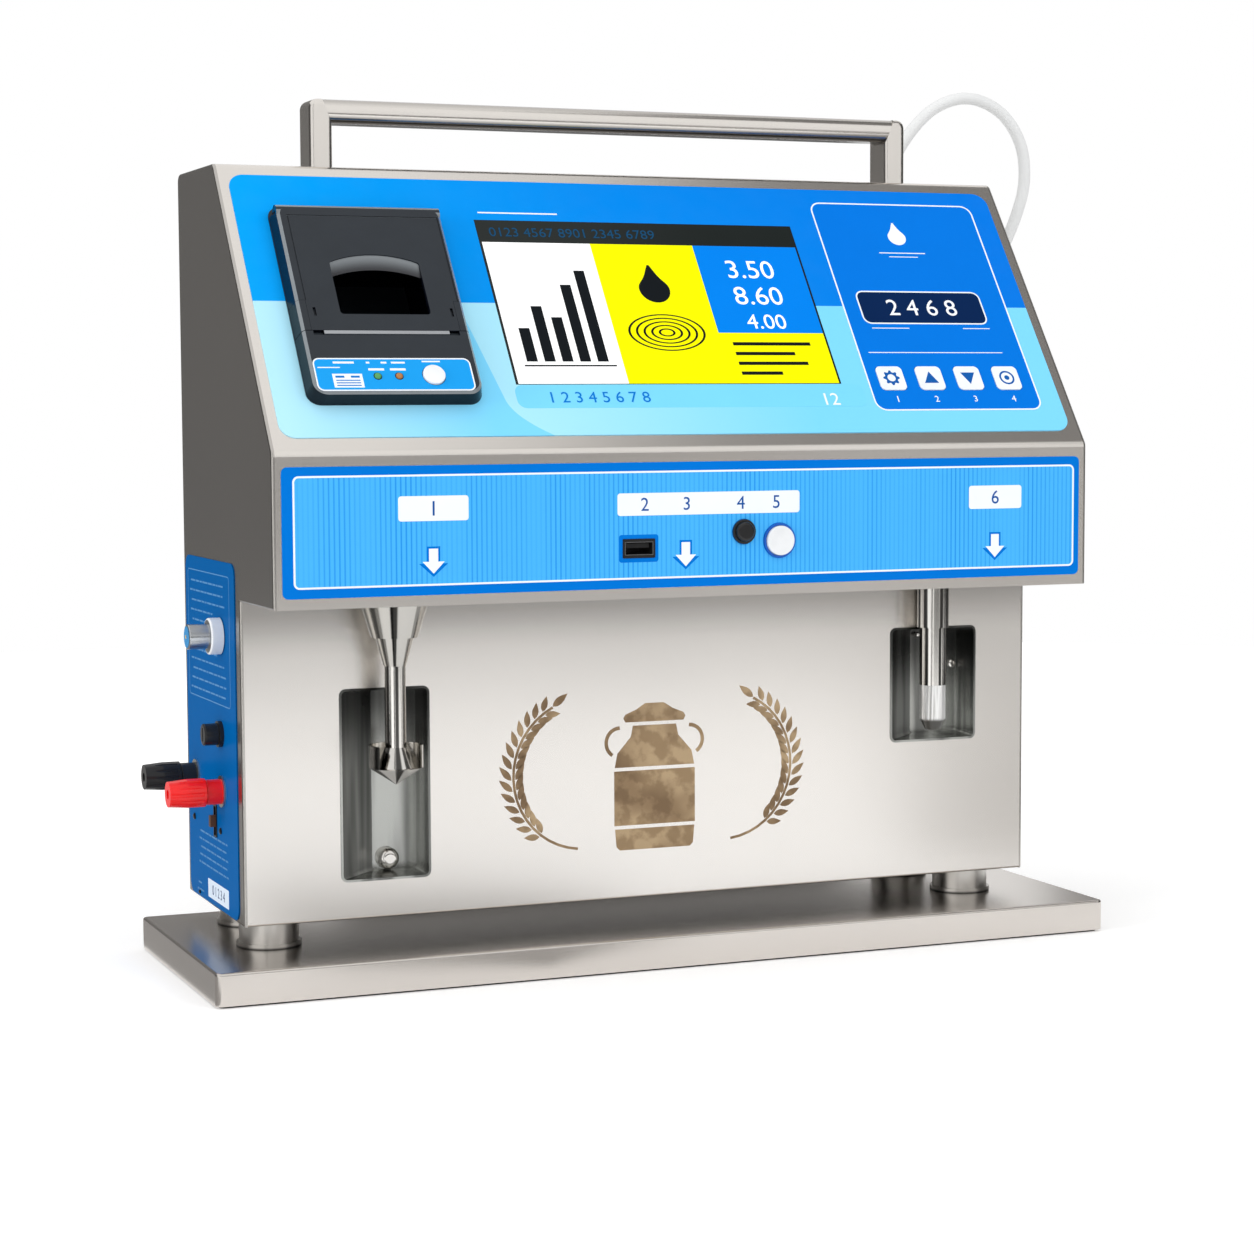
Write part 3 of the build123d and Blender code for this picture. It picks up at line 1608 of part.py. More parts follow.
def make_rear():
    flange_x = -inlet_x
    inlet = slab(
        rear, flange_x, inlet_z, inlet_flange_width, inlet_flange_height, 0, inlet_flange_thick, 3.0
    )
    inlet += slab(
        rear, flange_x, inlet_z, inlet_body_width - 0.2, inlet_body_height - 0.2, -inlet_body_depth, 0
    )
    inlet -= slab(
        rear,
        flange_x,
        inlet_z,
        inlet_mouth_width,
        inlet_mouth_height,
        inlet_flange_thick - inlet_mouth_depth,
        inlet_flange_thick + 1,
        2.0,
    )
    pin_low = inlet_flange_thick - inlet_mouth_depth
    pins = []
    for dx, dz in ((-7.0, -2.0), (0.0, 2.0), (7.0, -2.0)):
        pins.append(
            slab(rear, flange_x + dx, inlet_z + dz, 2.0, 4.0, pin_low, pin_low + inlet_pin_length)
        )
    frame = slab(
        rear,
        -rocker_x,
        inlet_z,
        rocker_frame_width,
        2 * rocker_frame_half,
        0,
        inlet_flange_thick,
        1.0,
    )
    frame += slab(
        rear, -rocker_x, inlet_z, rocker_width + 2.9, 2 * rocker_half + 3.9, -inlet_body_depth, 0
    )
    frame -= slab(
        rear,
        -rocker_x,
        inlet_z,
        rocker_width + 0.5,
        2 * rocker_half + 2.6,
        3 - inlet_body_depth,
        inlet_flange_thick + 1,
    )
    pivot_y = cabinet_back_y - rocker_pivot_depth
    frame_pin_half = rocker_width / 2 + 1.2
    pivot = Plane.YZ
    frame -= peg(
        pivot,
        pivot_y,
        inlet_z,
        rocker_pin_radius + pin_clearance,
        rocker_x - frame_pin_half - 0.1,
        rocker_x + frame_pin_half + 0.1,
    )
    keep("mains_inlet", inlet, *pins, frame)

    reach = rocker_pivot_depth + inlet_flange_thick + 1.6
    rocker = across(
        [
            (reach + 1.4, rocker_half),
            (reach, 0.0),
            (reach + 1.4, -rocker_half),
            (0.0, -rocker_half),
            (-4.0, -3.0),
            (-4.0, 3.0),
            (0.0, rocker_half),
        ],
        rocker_x - rocker_width / 2,
        rocker_x + rocker_width / 2,
    )
    rocker = Pos(0, pivot_y, inlet_z) * Rot(rocker_tilt, 0, 0) * rocker
    rocker += peg(
        pivot, pivot_y, inlet_z, rocker_pin_radius, rocker_x - frame_pin_half, rocker_x + frame_pin_half
    )
    keep("power_switch", rocker)

    keep(
        "hose_fittings",
        elbow(upper_fitting_x, upper_fitting_z, True),
        elbow(lower_fitting_x, lower_fitting_z, False),
    )

    points = hose_route()
    radii = arc_radii(points)
    print("hose radii", [round(r, 1) for r in radii])
    route = FilletPolyline(*points, radius=radii)
    start = Plane(origin=points[0], z_dir=Vector(*points[1]) - Vector(*points[0]))
    hose = sweep(start * Circle(hose_radius), path=route)
    section = math.pi * hose_radius**2
    print("hose length", round(route.length, 1), "volume ratio", hose.volume / (section * route.length))
    keep("loop_hose", hose)


for make in (
    make_stand,
    make_cabinet,
    make_handle,
    make_films,
    make_screen,
    make_keys,
    make_printer,
    make_band,
    make_sample_side,
    make_side_controls,
    make_inside,
    make_rear,
):
    make()

for name, shape in nodes.items():
    export_step(shape, f"parts/{name}.step")
print(len(nodes), "nodes")
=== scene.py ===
"""A bench milk analyzer, dressed over its construction frame: finishes, prints, screen and hose."""

import math
from collections import namedtuple

import bmesh
import bpy
from bpy.props import FloatProperty, FloatVectorProperty, PointerProperty
from mathutils import Matrix, Vector
from mathutils.geometry import tessellate_polygon


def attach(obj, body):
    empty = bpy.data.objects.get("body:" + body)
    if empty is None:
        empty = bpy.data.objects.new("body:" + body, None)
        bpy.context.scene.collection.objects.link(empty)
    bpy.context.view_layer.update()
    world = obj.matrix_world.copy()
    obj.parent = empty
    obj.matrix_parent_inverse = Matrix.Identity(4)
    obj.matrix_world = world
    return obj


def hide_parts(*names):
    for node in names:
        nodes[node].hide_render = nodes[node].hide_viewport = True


bl_info = {
    "name": "Bench Milk Analyzer",
    "version": (1, 0, 0),
    "blender": (4, 5, 0),
    "location": "3D View > Sidebar > Milk Analyzer",
    "description": "Finishes, prints, screen picture and hose of a bench milk analyzer",
    "category": "Object",
}

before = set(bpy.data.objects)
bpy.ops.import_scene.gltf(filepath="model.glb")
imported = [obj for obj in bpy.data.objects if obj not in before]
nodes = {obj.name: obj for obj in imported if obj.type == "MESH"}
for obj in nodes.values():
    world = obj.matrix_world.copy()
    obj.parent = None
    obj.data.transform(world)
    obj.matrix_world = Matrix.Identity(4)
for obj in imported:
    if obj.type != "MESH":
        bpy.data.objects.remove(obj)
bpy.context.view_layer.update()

# Lengths here and in the print and piece lists are millimetres; heights in finishes are metres
MM = 0.001
FILM = 0.4
INK = 0.05
INK_SINK = 0.03
PRINTER_X = -133.2
PRINTER_FACE = 8.4
SPLIT_HEIGHT = 77.6
SAMPLE_AXIS = (-128.0, -50.0)
PROBE_AXIS = (136.8, -42.0)
FRONT_THICK = 1.0
POCKET_DEPTH = 17.0
POST_INNER = 134.0
KEY_X = 102.0
KEY_PITCH = 19.8
KEY_HEIGHT = 36.7
KEY_HALF = 6.75
PAD = (89.7, 175.0, 18.8, 138.5, 5.5)
LABEL = (-35.3, 33.3, 24.9, 41.7, 3.0)
ARROWS = (-122.5, -8.5, 143.4)
DIAL_HEIGHT = 149.2
DIAL_END = 15.4
AXIS_RADIUS = 1e-6

# Camera: yaw, pitch and roll in degrees, place and floor in metres
CAMERA_TURNS = (22.288, 4.754, -0.249)
CAMERA_PLACE = (-0.48443, -1.18157, 0.25246)
FLOOR_RADIUS = 1.6
CARD_LIFT = 0.002

ACROSS = (1, 0, 0)
UP = (0, 0, 1)
KEYS = ("menu_key", "up_key", "down_key", "enter_key")

Face = namedtuple("Face", "origin right up out")


def face_at(origin, right, up):
    right, up = Vector(right).normalized(), Vector(up).normalized()
    return Face(Vector(origin) * MM, right, up, right.cross(up))


SLOPE = face_at((0, -87, 230), ACROSS, (0, 90, 123))
PRINTER = face_at((PRINTER_X, -87, 230), ACROSS, (0, 90, 123))
BAND = face_at((0, -87, 0), ACROSS, UP)
FRONT = face_at((0, -32, 0), ACROSS, UP)
LEFT = face_at((-191, 0, 0), (0, -1, 0), UP)


def tone(red, green, blue):
    """A colour as seen, 0 to 255, as the linear values that shaders take."""
    parts = (part / 255 for part in (red, green, blue))
    return tuple(p / 12.92 if p <= 0.04045 else ((p + 0.055) / 1.055) ** 2.4 for p in parts)


def colour(name, description, *seen):
    shown = {"name": name, "description": description, "subtype": "COLOR"}
    return FloatVectorProperty(default=tone(*seen), min=0, max=1, **shown)


def amount(name, description, default, unit="NONE", **limits):
    shown = {"name": name, "description": description, "unit": unit, "min": 0, **limits}
    return FloatProperty(default=default, **shown)


class StageSettings(bpy.types.PropertyGroup):
    """Floor, lamps and camera."""

    lens: amount("Lens", "Focal length on a 36 mm sensor", 79.71, min=20, max=300)
    key_power: amount("Key power", "Power of the big front lamp", 12.0, "POWER")
    fill_power: amount("Fill power", "Power of the top lamp", 5.0, "POWER")
    side_power: amount("Side power", "Power of the lamp on the left", 15.0, "POWER")
    room_light: amount("Room light", "Level of the room's light on matt surfaces", 0.74)
    card_dark: amount("Dark cards", "Level of the darkest cards that metal mirrors", 0.04)
    card_middle: amount("Grey cards", "Level of the grey cards that metal mirrors", 0.42)
    card_top: amount("Top card", "Level of the grey card overhead", 0.2)
    floor: colour("Floor", "Colour of the floor", 250, 250, 250)


class SteelSettings(bpy.types.PropertyGroup):
    """Stainless steel."""

    sheet: colour("Sheet", "Colour of the brushed sheet", 226, 221, 215)
    front: colour("Front", "Colour of the cabinet front", 236, 232, 227)
    # Base, side and pocket steel are darker than the sheet as painted shade.
    base: colour("Base", "Colour of the base plate", 216, 210, 204)
    side: colour("Side", "Colour of the side panels", 190, 186, 181)
    bright: colour("Bright parts", "Colour of turned and polished parts", 214, 211, 206)
    pocket: colour("Pockets", "Colour of the drawn pockets", 174, 175, 171)
    funnel: colour("Funnel", "Colour of the funnel", 190, 187, 181)
    grain: amount("Grain", "Height of the brushed grain", 0.0000005, "LENGTH")


class PrintSettings(bpy.types.PropertyGroup):
    """Printed films."""

    deep_left: colour("Deep blue, left", "Upper field at the left end", 0, 162, 248)
    deep_middle: colour("Deep blue, middle", "Upper field in the middle", 0, 136, 234)
    deep_right: colour("Deep blue, right", "Upper field at the right end", 0, 119, 226)
    pale_far: colour("Pale blue, left", "Lower field at the left end", 182, 235, 253)
    pale_near: colour("Pale blue", "Lower field", 126, 215, 254)
    sweep: colour("Sweep", "Lower field inside the sweep", 172, 232, 253)
    border: colour("Border", "Band border and frames", 0, 118, 216)
    stripe_light: colour("Light stripe", "Light stripes of the band", 72, 182, 251)
    stripe_dark: colour("Dark stripe", "Dark stripes of the band", 30, 146, 236)
    keypad: colour("Keypad", "Field round the keys", 0, 118, 223)
    navy: colour("Navy", "Plate over the keys", 10, 38, 82)
    white: colour("White", "White ink", 244, 249, 253)
    side: colour("Side film", "Film on the left panel", 0, 86, 150)
    side_ink: colour("Side ink", "Fine print on the side film", 80, 134, 184)
    motif: colour("Motif, dark", "Dark tan of the front motif", 128, 103, 74)
    motif_pale: colour("Motif, pale", "Pale tan of the front motif", 190, 164, 128)
    stripe_pitch: amount("Stripe pitch", "Pitch of the band's stripes", 0.0022, "LENGTH")


class ScreenSettings(bpy.types.PropertyGroup):
    """Screen picture."""

    white: colour("White", "White field", 255, 255, 255)
    yellow: colour("Yellow", "Yellow field", 240, 238, 0)
    blue: colour("Blue", "Blue field", 0, 122, 222)
    dark: colour("Dark", "Glass and title bar", 27, 33, 32)
    glow: amount("Glow", "Light that the picture gives", 0.16)


class PlasticSettings(bpy.types.PropertyGroup):
    """Plastics, rubber and hose."""

    printer: colour("Printer", "Printer face", 40, 45, 51)
    # The walls' colour is painted shade and the rim's colour a painted highlight on the one printer
    # moulding.
    printer_wall: colour("Printer walls", "Printer walls and grooves", 9, 12, 22)
    printer_edge: colour("Printer edges", "Rounded rim of the printer", 122, 128, 132)
    black: colour("Black", "Black controls", 30, 30, 31)
    white: colour("White", "White controls", 238, 240, 242)
    blue: colour("Blue", "Blue ring of the stop button", 14, 92, 190)
    red: colour("Red", "Red binding post", 255, 24, 24)
    hose: colour("Hose", "Milky hose", 230, 231, 231)
    hose_diameter: amount("Hose diameter", "Outside diameter of the hose", 0.006, "LENGTH")


class Tree:
    """Short ways to add nodes to a tree."""

    def __init__(self, tree):
        self.tree = tree

    def node(self, kind, inputs=None, **settings):
        made = self.tree.nodes.new(kind)
        for key, value in settings.items():
            setattr(made, key, value)
        for key, value in (inputs or {}).items():
            self.feed(made.inputs[key], value)
        return made

    def feed(self, socket, value):
        if isinstance(value, bpy.types.NodeSocket):
            self.tree.links.new(value, socket)
        elif socket.type == "RGBA" and len(value) == 3:
            socket.default_value = (*value, 1)
        else:
            socket.default_value = value

    def maths(self, operation, first, second=0.0):
        return self.node("ShaderNodeMath", {0: first, 1: second}, operation=operation).outputs[0]

    def spread(self, value, low, high, start=0.0, end=1.0, smooth=False):
        """Maps start..end of a value to low..high."""
        inputs = {"Value": value, "From Min": start, "From Max": end, "To Min": low, "To Max": high}
        made = self.node("ShaderNodeMapRange", inputs)
        if smooth:
            made.interpolation_type = "SMOOTHSTEP"
        return made.outputs[0]


class Recipe(Tree):
    """The nodes of one finish."""

    def __init__(self, name, **sockets):
        self.material = bpy.data.materials.new(name)
        self.material.use_nodes = True
        super().__init__(self.material.node_tree)
        self.shader = self.tree.nodes["Principled BSDF"]
        self.place = self.node("ShaderNodeTexCoord").outputs["Object"]
        self.set(**sockets)

    def set(self, **sockets):
        for key, value in sockets.items():
            label = key.replace("_", " ").title().replace("Ior", "IOR")
            self.feed(self.shader.inputs[label], value)

    def along(self, direction):
        """Distance along a direction, in metres, from the frame's origin."""
        inputs = {0: self.place, 1: tuple(direction)}
        return self.node("ShaderNodeVectorMath", inputs, operation="DOT_PRODUCT").outputs["Value"]

    def noise(self, scale, stretch=(1, 1, 1), detail=3.0):
        mapped = self.node("ShaderNodeMapping", {"Vector": self.place, "Scale": stretch})
        inputs = {"Vector": mapped.outputs[0], "Scale": scale, "Detail": detail}
        return self.node("ShaderNodeTexNoise", inputs).outputs[0]

    def mix(self, share, first, second):
        return self.node("ShaderNodeMix", {0: share, 6: first, 7: second}, data_type="RGBA").outputs[2]

    def shade(self, base, share, scale, stretch=(1, 1, 1)):
        """The base colour, lighter and darker by a share, in a fine pattern."""
        dark = tuple(c * (1 - share) for c in base)
        light = tuple(min(1.0, c * (1 + share)) for c in base)
        return self.mix(self.spread(self.noise(scale, stretch), 0, 1, 0.3, 0.7), dark, light)

    def tint(self, base, factor):
        """Sets the base colour, scaled by a factor."""
        inputs = {0: base, "Scale": factor}
        self.set(base_color=self.node("ShaderNodeVectorMath", inputs, operation="SCALE").outputs[0])

    def bump(self, height, distance):
        made = self.node("ShaderNodeBump", {"Height": height, "Distance": distance})
        self.set(normal=made.outputs[0])


def steel_sheet(name, base, stretch, grain, shaded=None):
    """Brushed sheet with drawn-out grain; it may carry painted shade, darkening to a share of its colour
    between two heights.
    """
    made = Recipe(name, metallic=1.0)
    fine = made.noise(900, stretch)
    soft = made.spread(made.noise(5), 0.95, 1.02, 0.3, 0.7)
    if shaded:
        low, high, share = shaded
        soft = made.maths("MULTIPLY", soft, made.spread(made.along(UP), 1.0, share, low, high, True))
    made.tint(made.shade(base, 0.01, 900, stretch), soft)
    made.set(roughness=made.spread(fine, 0.24, 0.26))
    made.bump(fine, grain)
    return made.material


def graded_steel(name, base, rough, painted_ramps, pattern, grain, metallic=1.0, painted_streaks=False):
    """Steel with painted light and shade that changes with height; a ramp is two shares of its colour and
    the two heights in metres.
    """
    made = Recipe(name, metallic=metallic, roughness=rough)
    factor = 1.0
    # Painted reflections: long upright bands of darker and lighter colour.
    if painted_streaks:
        factor = made.spread(made.noise(110, (1, 1, 0.06), 2), 0.45, 1.1, 0.36, 0.6, True)
    for low, high, start, end in painted_ramps:
        factor = made.maths("MULTIPLY", factor, made.spread(made.along(UP), low, high, start, end, True))
    made.tint(base, factor)
    made.bump(made.noise(*pattern), grain)
    return made.material


def turned_steel(name, base, rough=0.11):
    """Bright turned steel with faint rings."""
    made = Recipe(name, metallic=1.0)
    rings = made.noise(1600, (0.02, 0.02, 1), 2)
    made.set(base_color=made.shade(base, 0.04, 60), roughness=made.spread(rings, rough * 0.7, rough * 1.4))
    made.bump(rings, 0.000001)
    return made.material


def painted_reflections(name, base, axis, streaks, metallic=1.0):
    """Turned steel with painted reflections: dark upright streaks, each a turn round the axis, a half width
    and a darkness.
    """
    made = Recipe(name, metallic=metallic, roughness=0.15)
    east = made.maths("SUBTRACT", made.along(ACROSS), axis[0] * MM)
    south = made.maths("SUBTRACT", axis[1] * MM, made.along((0, 1, 0)))
    turn = made.maths("ARCTAN2", east, south)
    factor = 1.0
    for place, half, share in streaks:
        away = made.maths("ABSOLUTE", made.maths("SUBTRACT", turn, math.radians(place)))
        dark = made.spread(away, share, 1.0, math.radians(half * 0.45), math.radians(half), True)
        factor = made.maths("MULTIPLY", factor, dark)
    made.tint(base, factor)
    made.bump(made.noise(1600, (0.02, 0.02, 1), 2), 0.000001)
    return made.material


def moulded(name, base, rough=0.4, grain=0.000012, scale=2600, coat=0.0):
    """Moulded plastic with a fine skin."""
    made = Recipe(name, coat_weight=coat, coat_roughness=0.12, specular_ior_level=0.25)
    skin = made.noise(scale, detail=2)
    made.set(base_color=made.shade(base, 0.05, 90), roughness=made.spread(skin, rough * 0.85, rough * 1.15))
    made.bump(skin, grain)
    return made.material


def ink(name, base, rough=0.38, glow=0.0):
    """Printed ink under a clear satin face."""
    made = Recipe(name, specular_ior_level=0.08, ior=1.3)
    tint = made.shade(base, 0.015, 40)
    made.set(base_color=tint, roughness=made.spread(made.noise(1200), rough * 0.9, rough * 1.1))
    if glow:
        made.set(emission_color=(*base, 1), emission_strength=glow)
    made.bump(made.noise(2000), 0.000002)
    return made.material


def two_zones(name, border, first, second, metal=None, **sockets):
    """One moulding in two colours, changing at a place across; the first or second may be metal."""
    made = Recipe(name, **sockets)
    share = made.maths("GREATER_THAN", made.along(ACROSS), border)
    made.set(base_color=made.mix(share, made.shade(first, 0.04, 120), made.shade(second, 0.04, 120)))
    if metal:
        made.set(metallic=share if metal == "second" else made.maths("SUBTRACT", 1.0, share))
    made.bump(made.noise(2200, detail=2), 0.000006)
    return made.material


def slope_print(look):
    """The console film: deep blue over pale blue, and a paler sweep round the screen's corner."""
    sweep_top, sweep_side, bow, lean = 0.0261, -0.0848, 40.0, -0.21
    made = Recipe("slope_film_print", roughness=0.45, specular_ior_level=0.05, ior=1.25)
    height = made.maths("SUBTRACT", made.along(SLOPE.up), SLOPE.origin.dot(SLOPE.up))
    across = made.along(ACROSS)

    def blend(start, end, first, second):
        return made.mix(made.spread(across, 0, 1, start, end), first, second)

    deep = blend(-0.02, 0.17, blend(-0.18, -0.02, look.deep_left, look.deep_middle), look.deep_right)
    below = made.maths("MAXIMUM", made.maths("SUBTRACT", sweep_top, height), 0.0)
    bowed = made.maths("MULTIPLY", made.maths("POWER", below, 2.0), bow)
    leant = made.maths("MULTIPLY", made.maths("SUBTRACT", height, sweep_top), lean)
    edge = made.maths("ADD", made.maths("ADD", bowed, leant), sweep_side)
    outer = blend(-0.182, -0.092, look.pale_far, look.pale_near)
    inner = blend(-0.085, 0.06, look.sweep, look.pale_near)
    pale = made.mix(made.maths("GREATER_THAN", across, edge), outer, inner)
    field = made.mix(made.maths("GREATER_THAN", height, SPLIT_HEIGHT * MM), pale, deep)
    made.set(base_color=made.mix(made.spread(made.noise(90, detail=1), 0, 0.006), field, (1, 1, 1)))
    made.bump(made.noise(1500), 0.000003)
    return made.material


def striped(look):
    """Fine upright stripes of two blues, a little uneven."""
    made = Recipe("band_stripe_print", roughness=0.45, specular_ior_level=0.15)
    part = made.maths("FRACT", made.maths("DIVIDE", made.along(ACROSS), look.stripe_pitch))
    edge = made.maths("ABSOLUTE", made.maths("SUBTRACT", part, 0.5))
    line = made.spread(edge, 0, 1, 0.26, 0.42, True)
    row = made.spread(made.noise(70, (1, 0.01, 0.01), 2), 0.2, 0.9, 0.35, 0.65)
    made.set(base_color=made.mix(made.maths("MULTIPLY", line, row), look.stripe_light, look.stripe_dark))
    made.bump(made.noise(1500), 0.000003)
    return made.material


def point_on(face, u, v, n):
    return face.origin + (face.right * u + face.up * v + face.out * n) * MM


def round_from(u, v, radius, turn):
    return (u + radius * math.cos(turn), v + radius * math.sin(turn))


def rounded(u0, u1, v0, v1, radius=0.0, steps=6):
    """A rectangle with round corners, as an outline in millimetres."""
    if not radius:
        return [(u0, v0), (u1, v0), (u1, v1), (u0, v1)]
    corners = [(u1 - radius, v0 + radius), (u1 - radius, v1 - radius)]
    corners += [(u0 + radius, v1 - radius), (u0 + radius, v0 + radius)]
    outline = []
    for quarter, (cu, cv) in enumerate(corners):
        for i in range(steps + 1):
            outline.append(round_from(cu, cv, radius, math.pi / 2 * (quarter - 1 + i / steps)))
    return outline


def boxes(*sizes):
    return [rounded(*size) for size in sizes]


def circle(u, v, radius, steps=36):
    return [round_from(u, v, radius, 2 * math.pi * i / steps) for i in range(steps)]


def drop_outline(u, v, radius, steps=28):
    """A drop with its point up."""
    outline = []
    for i in range(steps):
        turn = math.pi * (0.5 + 2 * (i + 0.5) / steps)
        reach = radius * (1 + 0.9 * max(0.0, math.sin(turn)) ** 6)
        pull = 1 - 0.45 * max(0.0, math.sin(turn)) ** 3
        outline.append((u + radius * math.cos(turn) * pull, v + reach * math.sin(turn)))
    return outline


def gear_outline(u, v, radius, teeth=8):
    outline = []
    for i in range(teeth * 4):
        reach = radius if i % 4 in (0, 1) else radius * 0.76
        outline.append(round_from(u, v, reach, 2 * math.pi * (i - 0.5) / (teeth * 4)))
    return outline


def arrow_outline(u, low, high, width, shaft, head):
    """An arrow that points down."""
    half, stem = width / 2, shaft / 2
    return [
        (u, low),
        (u + half, low + head),
        (u + stem, low + head),
        (u + stem, high),
        (u - stem, high),
        (u - stem, low + head),
        (u - half, low + head),
    ]


def leaf_outline(u, v, length, width, angle, steps=9):
    """A pointed leaf from its stem end."""
    cos, sin = math.cos(angle), math.sin(angle)
    right = [(i / steps, math.sin(math.pi * (i / steps) ** 0.8)) for i in range(steps + 1)]
    shape = [(a * length, -b * width / 2) for a, b in right[:-1]]
    shape += [(a * length, b * width / 2) for a, b in reversed(right[1:])]
    return [(u + a * cos - b * sin, v + a * sin + b * cos) for a, b in shape]


def ribbon(points, width):
    """The outline of a line of one width through points."""
    lefts, rights = [], []
    for i, (u, v) in enumerate(points):
        before, after = points[max(0, i - 1)], points[min(len(points) - 1, i + 1)]
        run = Vector((after[0] - before[0], after[1] - before[1])).normalized() * width / 2
        lefts.append((u - run.y, v + run.x))
        rights.append((u + run.y, v - run.x))
    return rights + lefts[::-1]


def ring(outer, inner):
    return (outer, [inner])


def frame_line(u0, u1, v0, v1, radius, width):
    inner = rounded(u0 + width, u1 - width, v0 + width, v1 - width, max(radius - width, 0.1))
    return ring(rounded(u0, u1, v0, v1, radius), inner)


def add_plate(mesh, face, outline, low, high, holes=()):
    """A thin closed plate on a face, between two heights above it."""
    bottoms, tops = [], []
    for loop in (outline, *holes):
        bottom = [mesh.verts.new(point_on(face, u, v, low)) for u, v in loop]
        top = [mesh.verts.new(point_on(face, u, v, high)) for u, v in loop]
        for i in range(len(loop)):
            j = (i + 1) % len(loop)
            mesh.faces.new((bottom[i], bottom[j], top[j], top[i]))
        bottoms += bottom
        tops += top
    flat = [[Vector((u, v, 0)) for u, v in loop] for loop in (outline, *holes)]
    for a, b, c in tessellate_polygon(flat):
        mesh.faces.new((tops[a], tops[b], tops[c]))
        mesh.faces.new((bottoms[c], bottoms[b], bottoms[a]))


def add_turned(mesh, face, u, v, profile, steps=32):
    """A turned piece on a face, from (radius, height) points; it closes on its axis."""
    rows = []
    for radius, n in profile:
        spots = circle(u, v, radius, steps) if radius > AXIS_RADIUS else [(u, v)]
        rows.append([mesh.verts.new(point_on(face, *spot, n)) for spot in spots])
    for low, high in zip(rows, rows[1:]):
        for i in range(steps):
            j = (i + 1) % steps
            if len(low) == 1:
                mesh.faces.new((low[0], high[i], high[j]))
            elif len(high) == 1:
                mesh.faces.new((low[i], low[j], high[0]))
            else:
                mesh.faces.new((low[i], low[j], high[j], high[i]))


def mesh_object(name, mesh, finish):
    data = bpy.data.meshes.new(name)
    mesh.to_mesh(data)
    mesh.free()
    data.materials.append(finish)
    made = bpy.data.objects.new(name, data)
    bpy.context.scene.collection.objects.link(made)
    return made


def piece_from(mesh, name, finish, body, smooth=False):
    """Makes the piece, gives it its finish and sets it on its body."""
    bmesh.ops.recalc_face_normals(mesh, faces=mesh.faces)
    piece = mesh_object(name, mesh, finish)
    if smooth:
        piece.data.shade_smooth()
        piece.data.set_sharp_from_angle(angle=math.radians(35))
    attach(piece, body)


def printed(name, face, shapes, finish, layer=1, base=FILM, body="housing"):
    """One layer of print: flat shapes of one colour, a hair proud of what carries them."""
    mesh = bmesh.new()
    for shape in shapes:
        outline, holes = shape if isinstance(shape, tuple) else (shape, ())
        add_plate(mesh, face, outline, base - INK_SINK, base + layer * INK, holes)
    piece_from(mesh, name, finish, body)


def numbers(name, face, rows, finish, layer=2):
    """Plain numbers, from (text, u, v, height) rows, as thin solids."""
    mesh = bmesh.new()
    for text, u, v, height in rows:
        curve = bpy.data.curves.new("number", "FONT")
        curve.body = text
        curve.extrude = 0.5
        curve.resolution_u = 4
        shape = bpy.data.objects.new("number", curve)
        data = bpy.data.meshes.new_from_object(shape)
        bpy.data.objects.remove(shape)
        bpy.data.curves.remove(curve)
        spots = [p.co for p in data.vertices]
        low = Vector(map(min, zip(*spots)))
        high = Vector(map(max, zip(*spots)))
        scale = height / (high.y - low.y)
        middle = (low + high) / 2
        rise = INK_SINK + layer * INK
        for vertex in data.vertices:
            flat = (vertex.co - middle) * scale
            n = FILM - INK_SINK + (rise if vertex.co.z > 0 else 0)
            vertex.co = point_on(face, u + flat.x, v + flat.y, n)
        mesh.from_mesh(data)
        bpy.data.meshes.remove(data)
    bmesh.ops.remove_doubles(mesh, verts=mesh.verts, dist=1e-6)
    piece_from(mesh, name, finish, "housing")


def finish_nodes(material, *names):
    for name in names:
        for slot in nodes[name].material_slots:
            slot.material = material


def paint_faces(name, finish, chosen):
    """Gives a second finish to the faces of a node that a test on centre and direction picks."""
    data = nodes[name].data
    data.materials.append(finish)
    for polygon in data.polygons:
        if chosen(polygon.center, polygon.normal):
            polygon.material_index = len(data.materials) - 1


def look_of(context, name):
    return getattr(context.scene, "analyzer_" + name)


class AnalyzerStep:
    """What the steps share."""

    bl_options = {"REGISTER"}


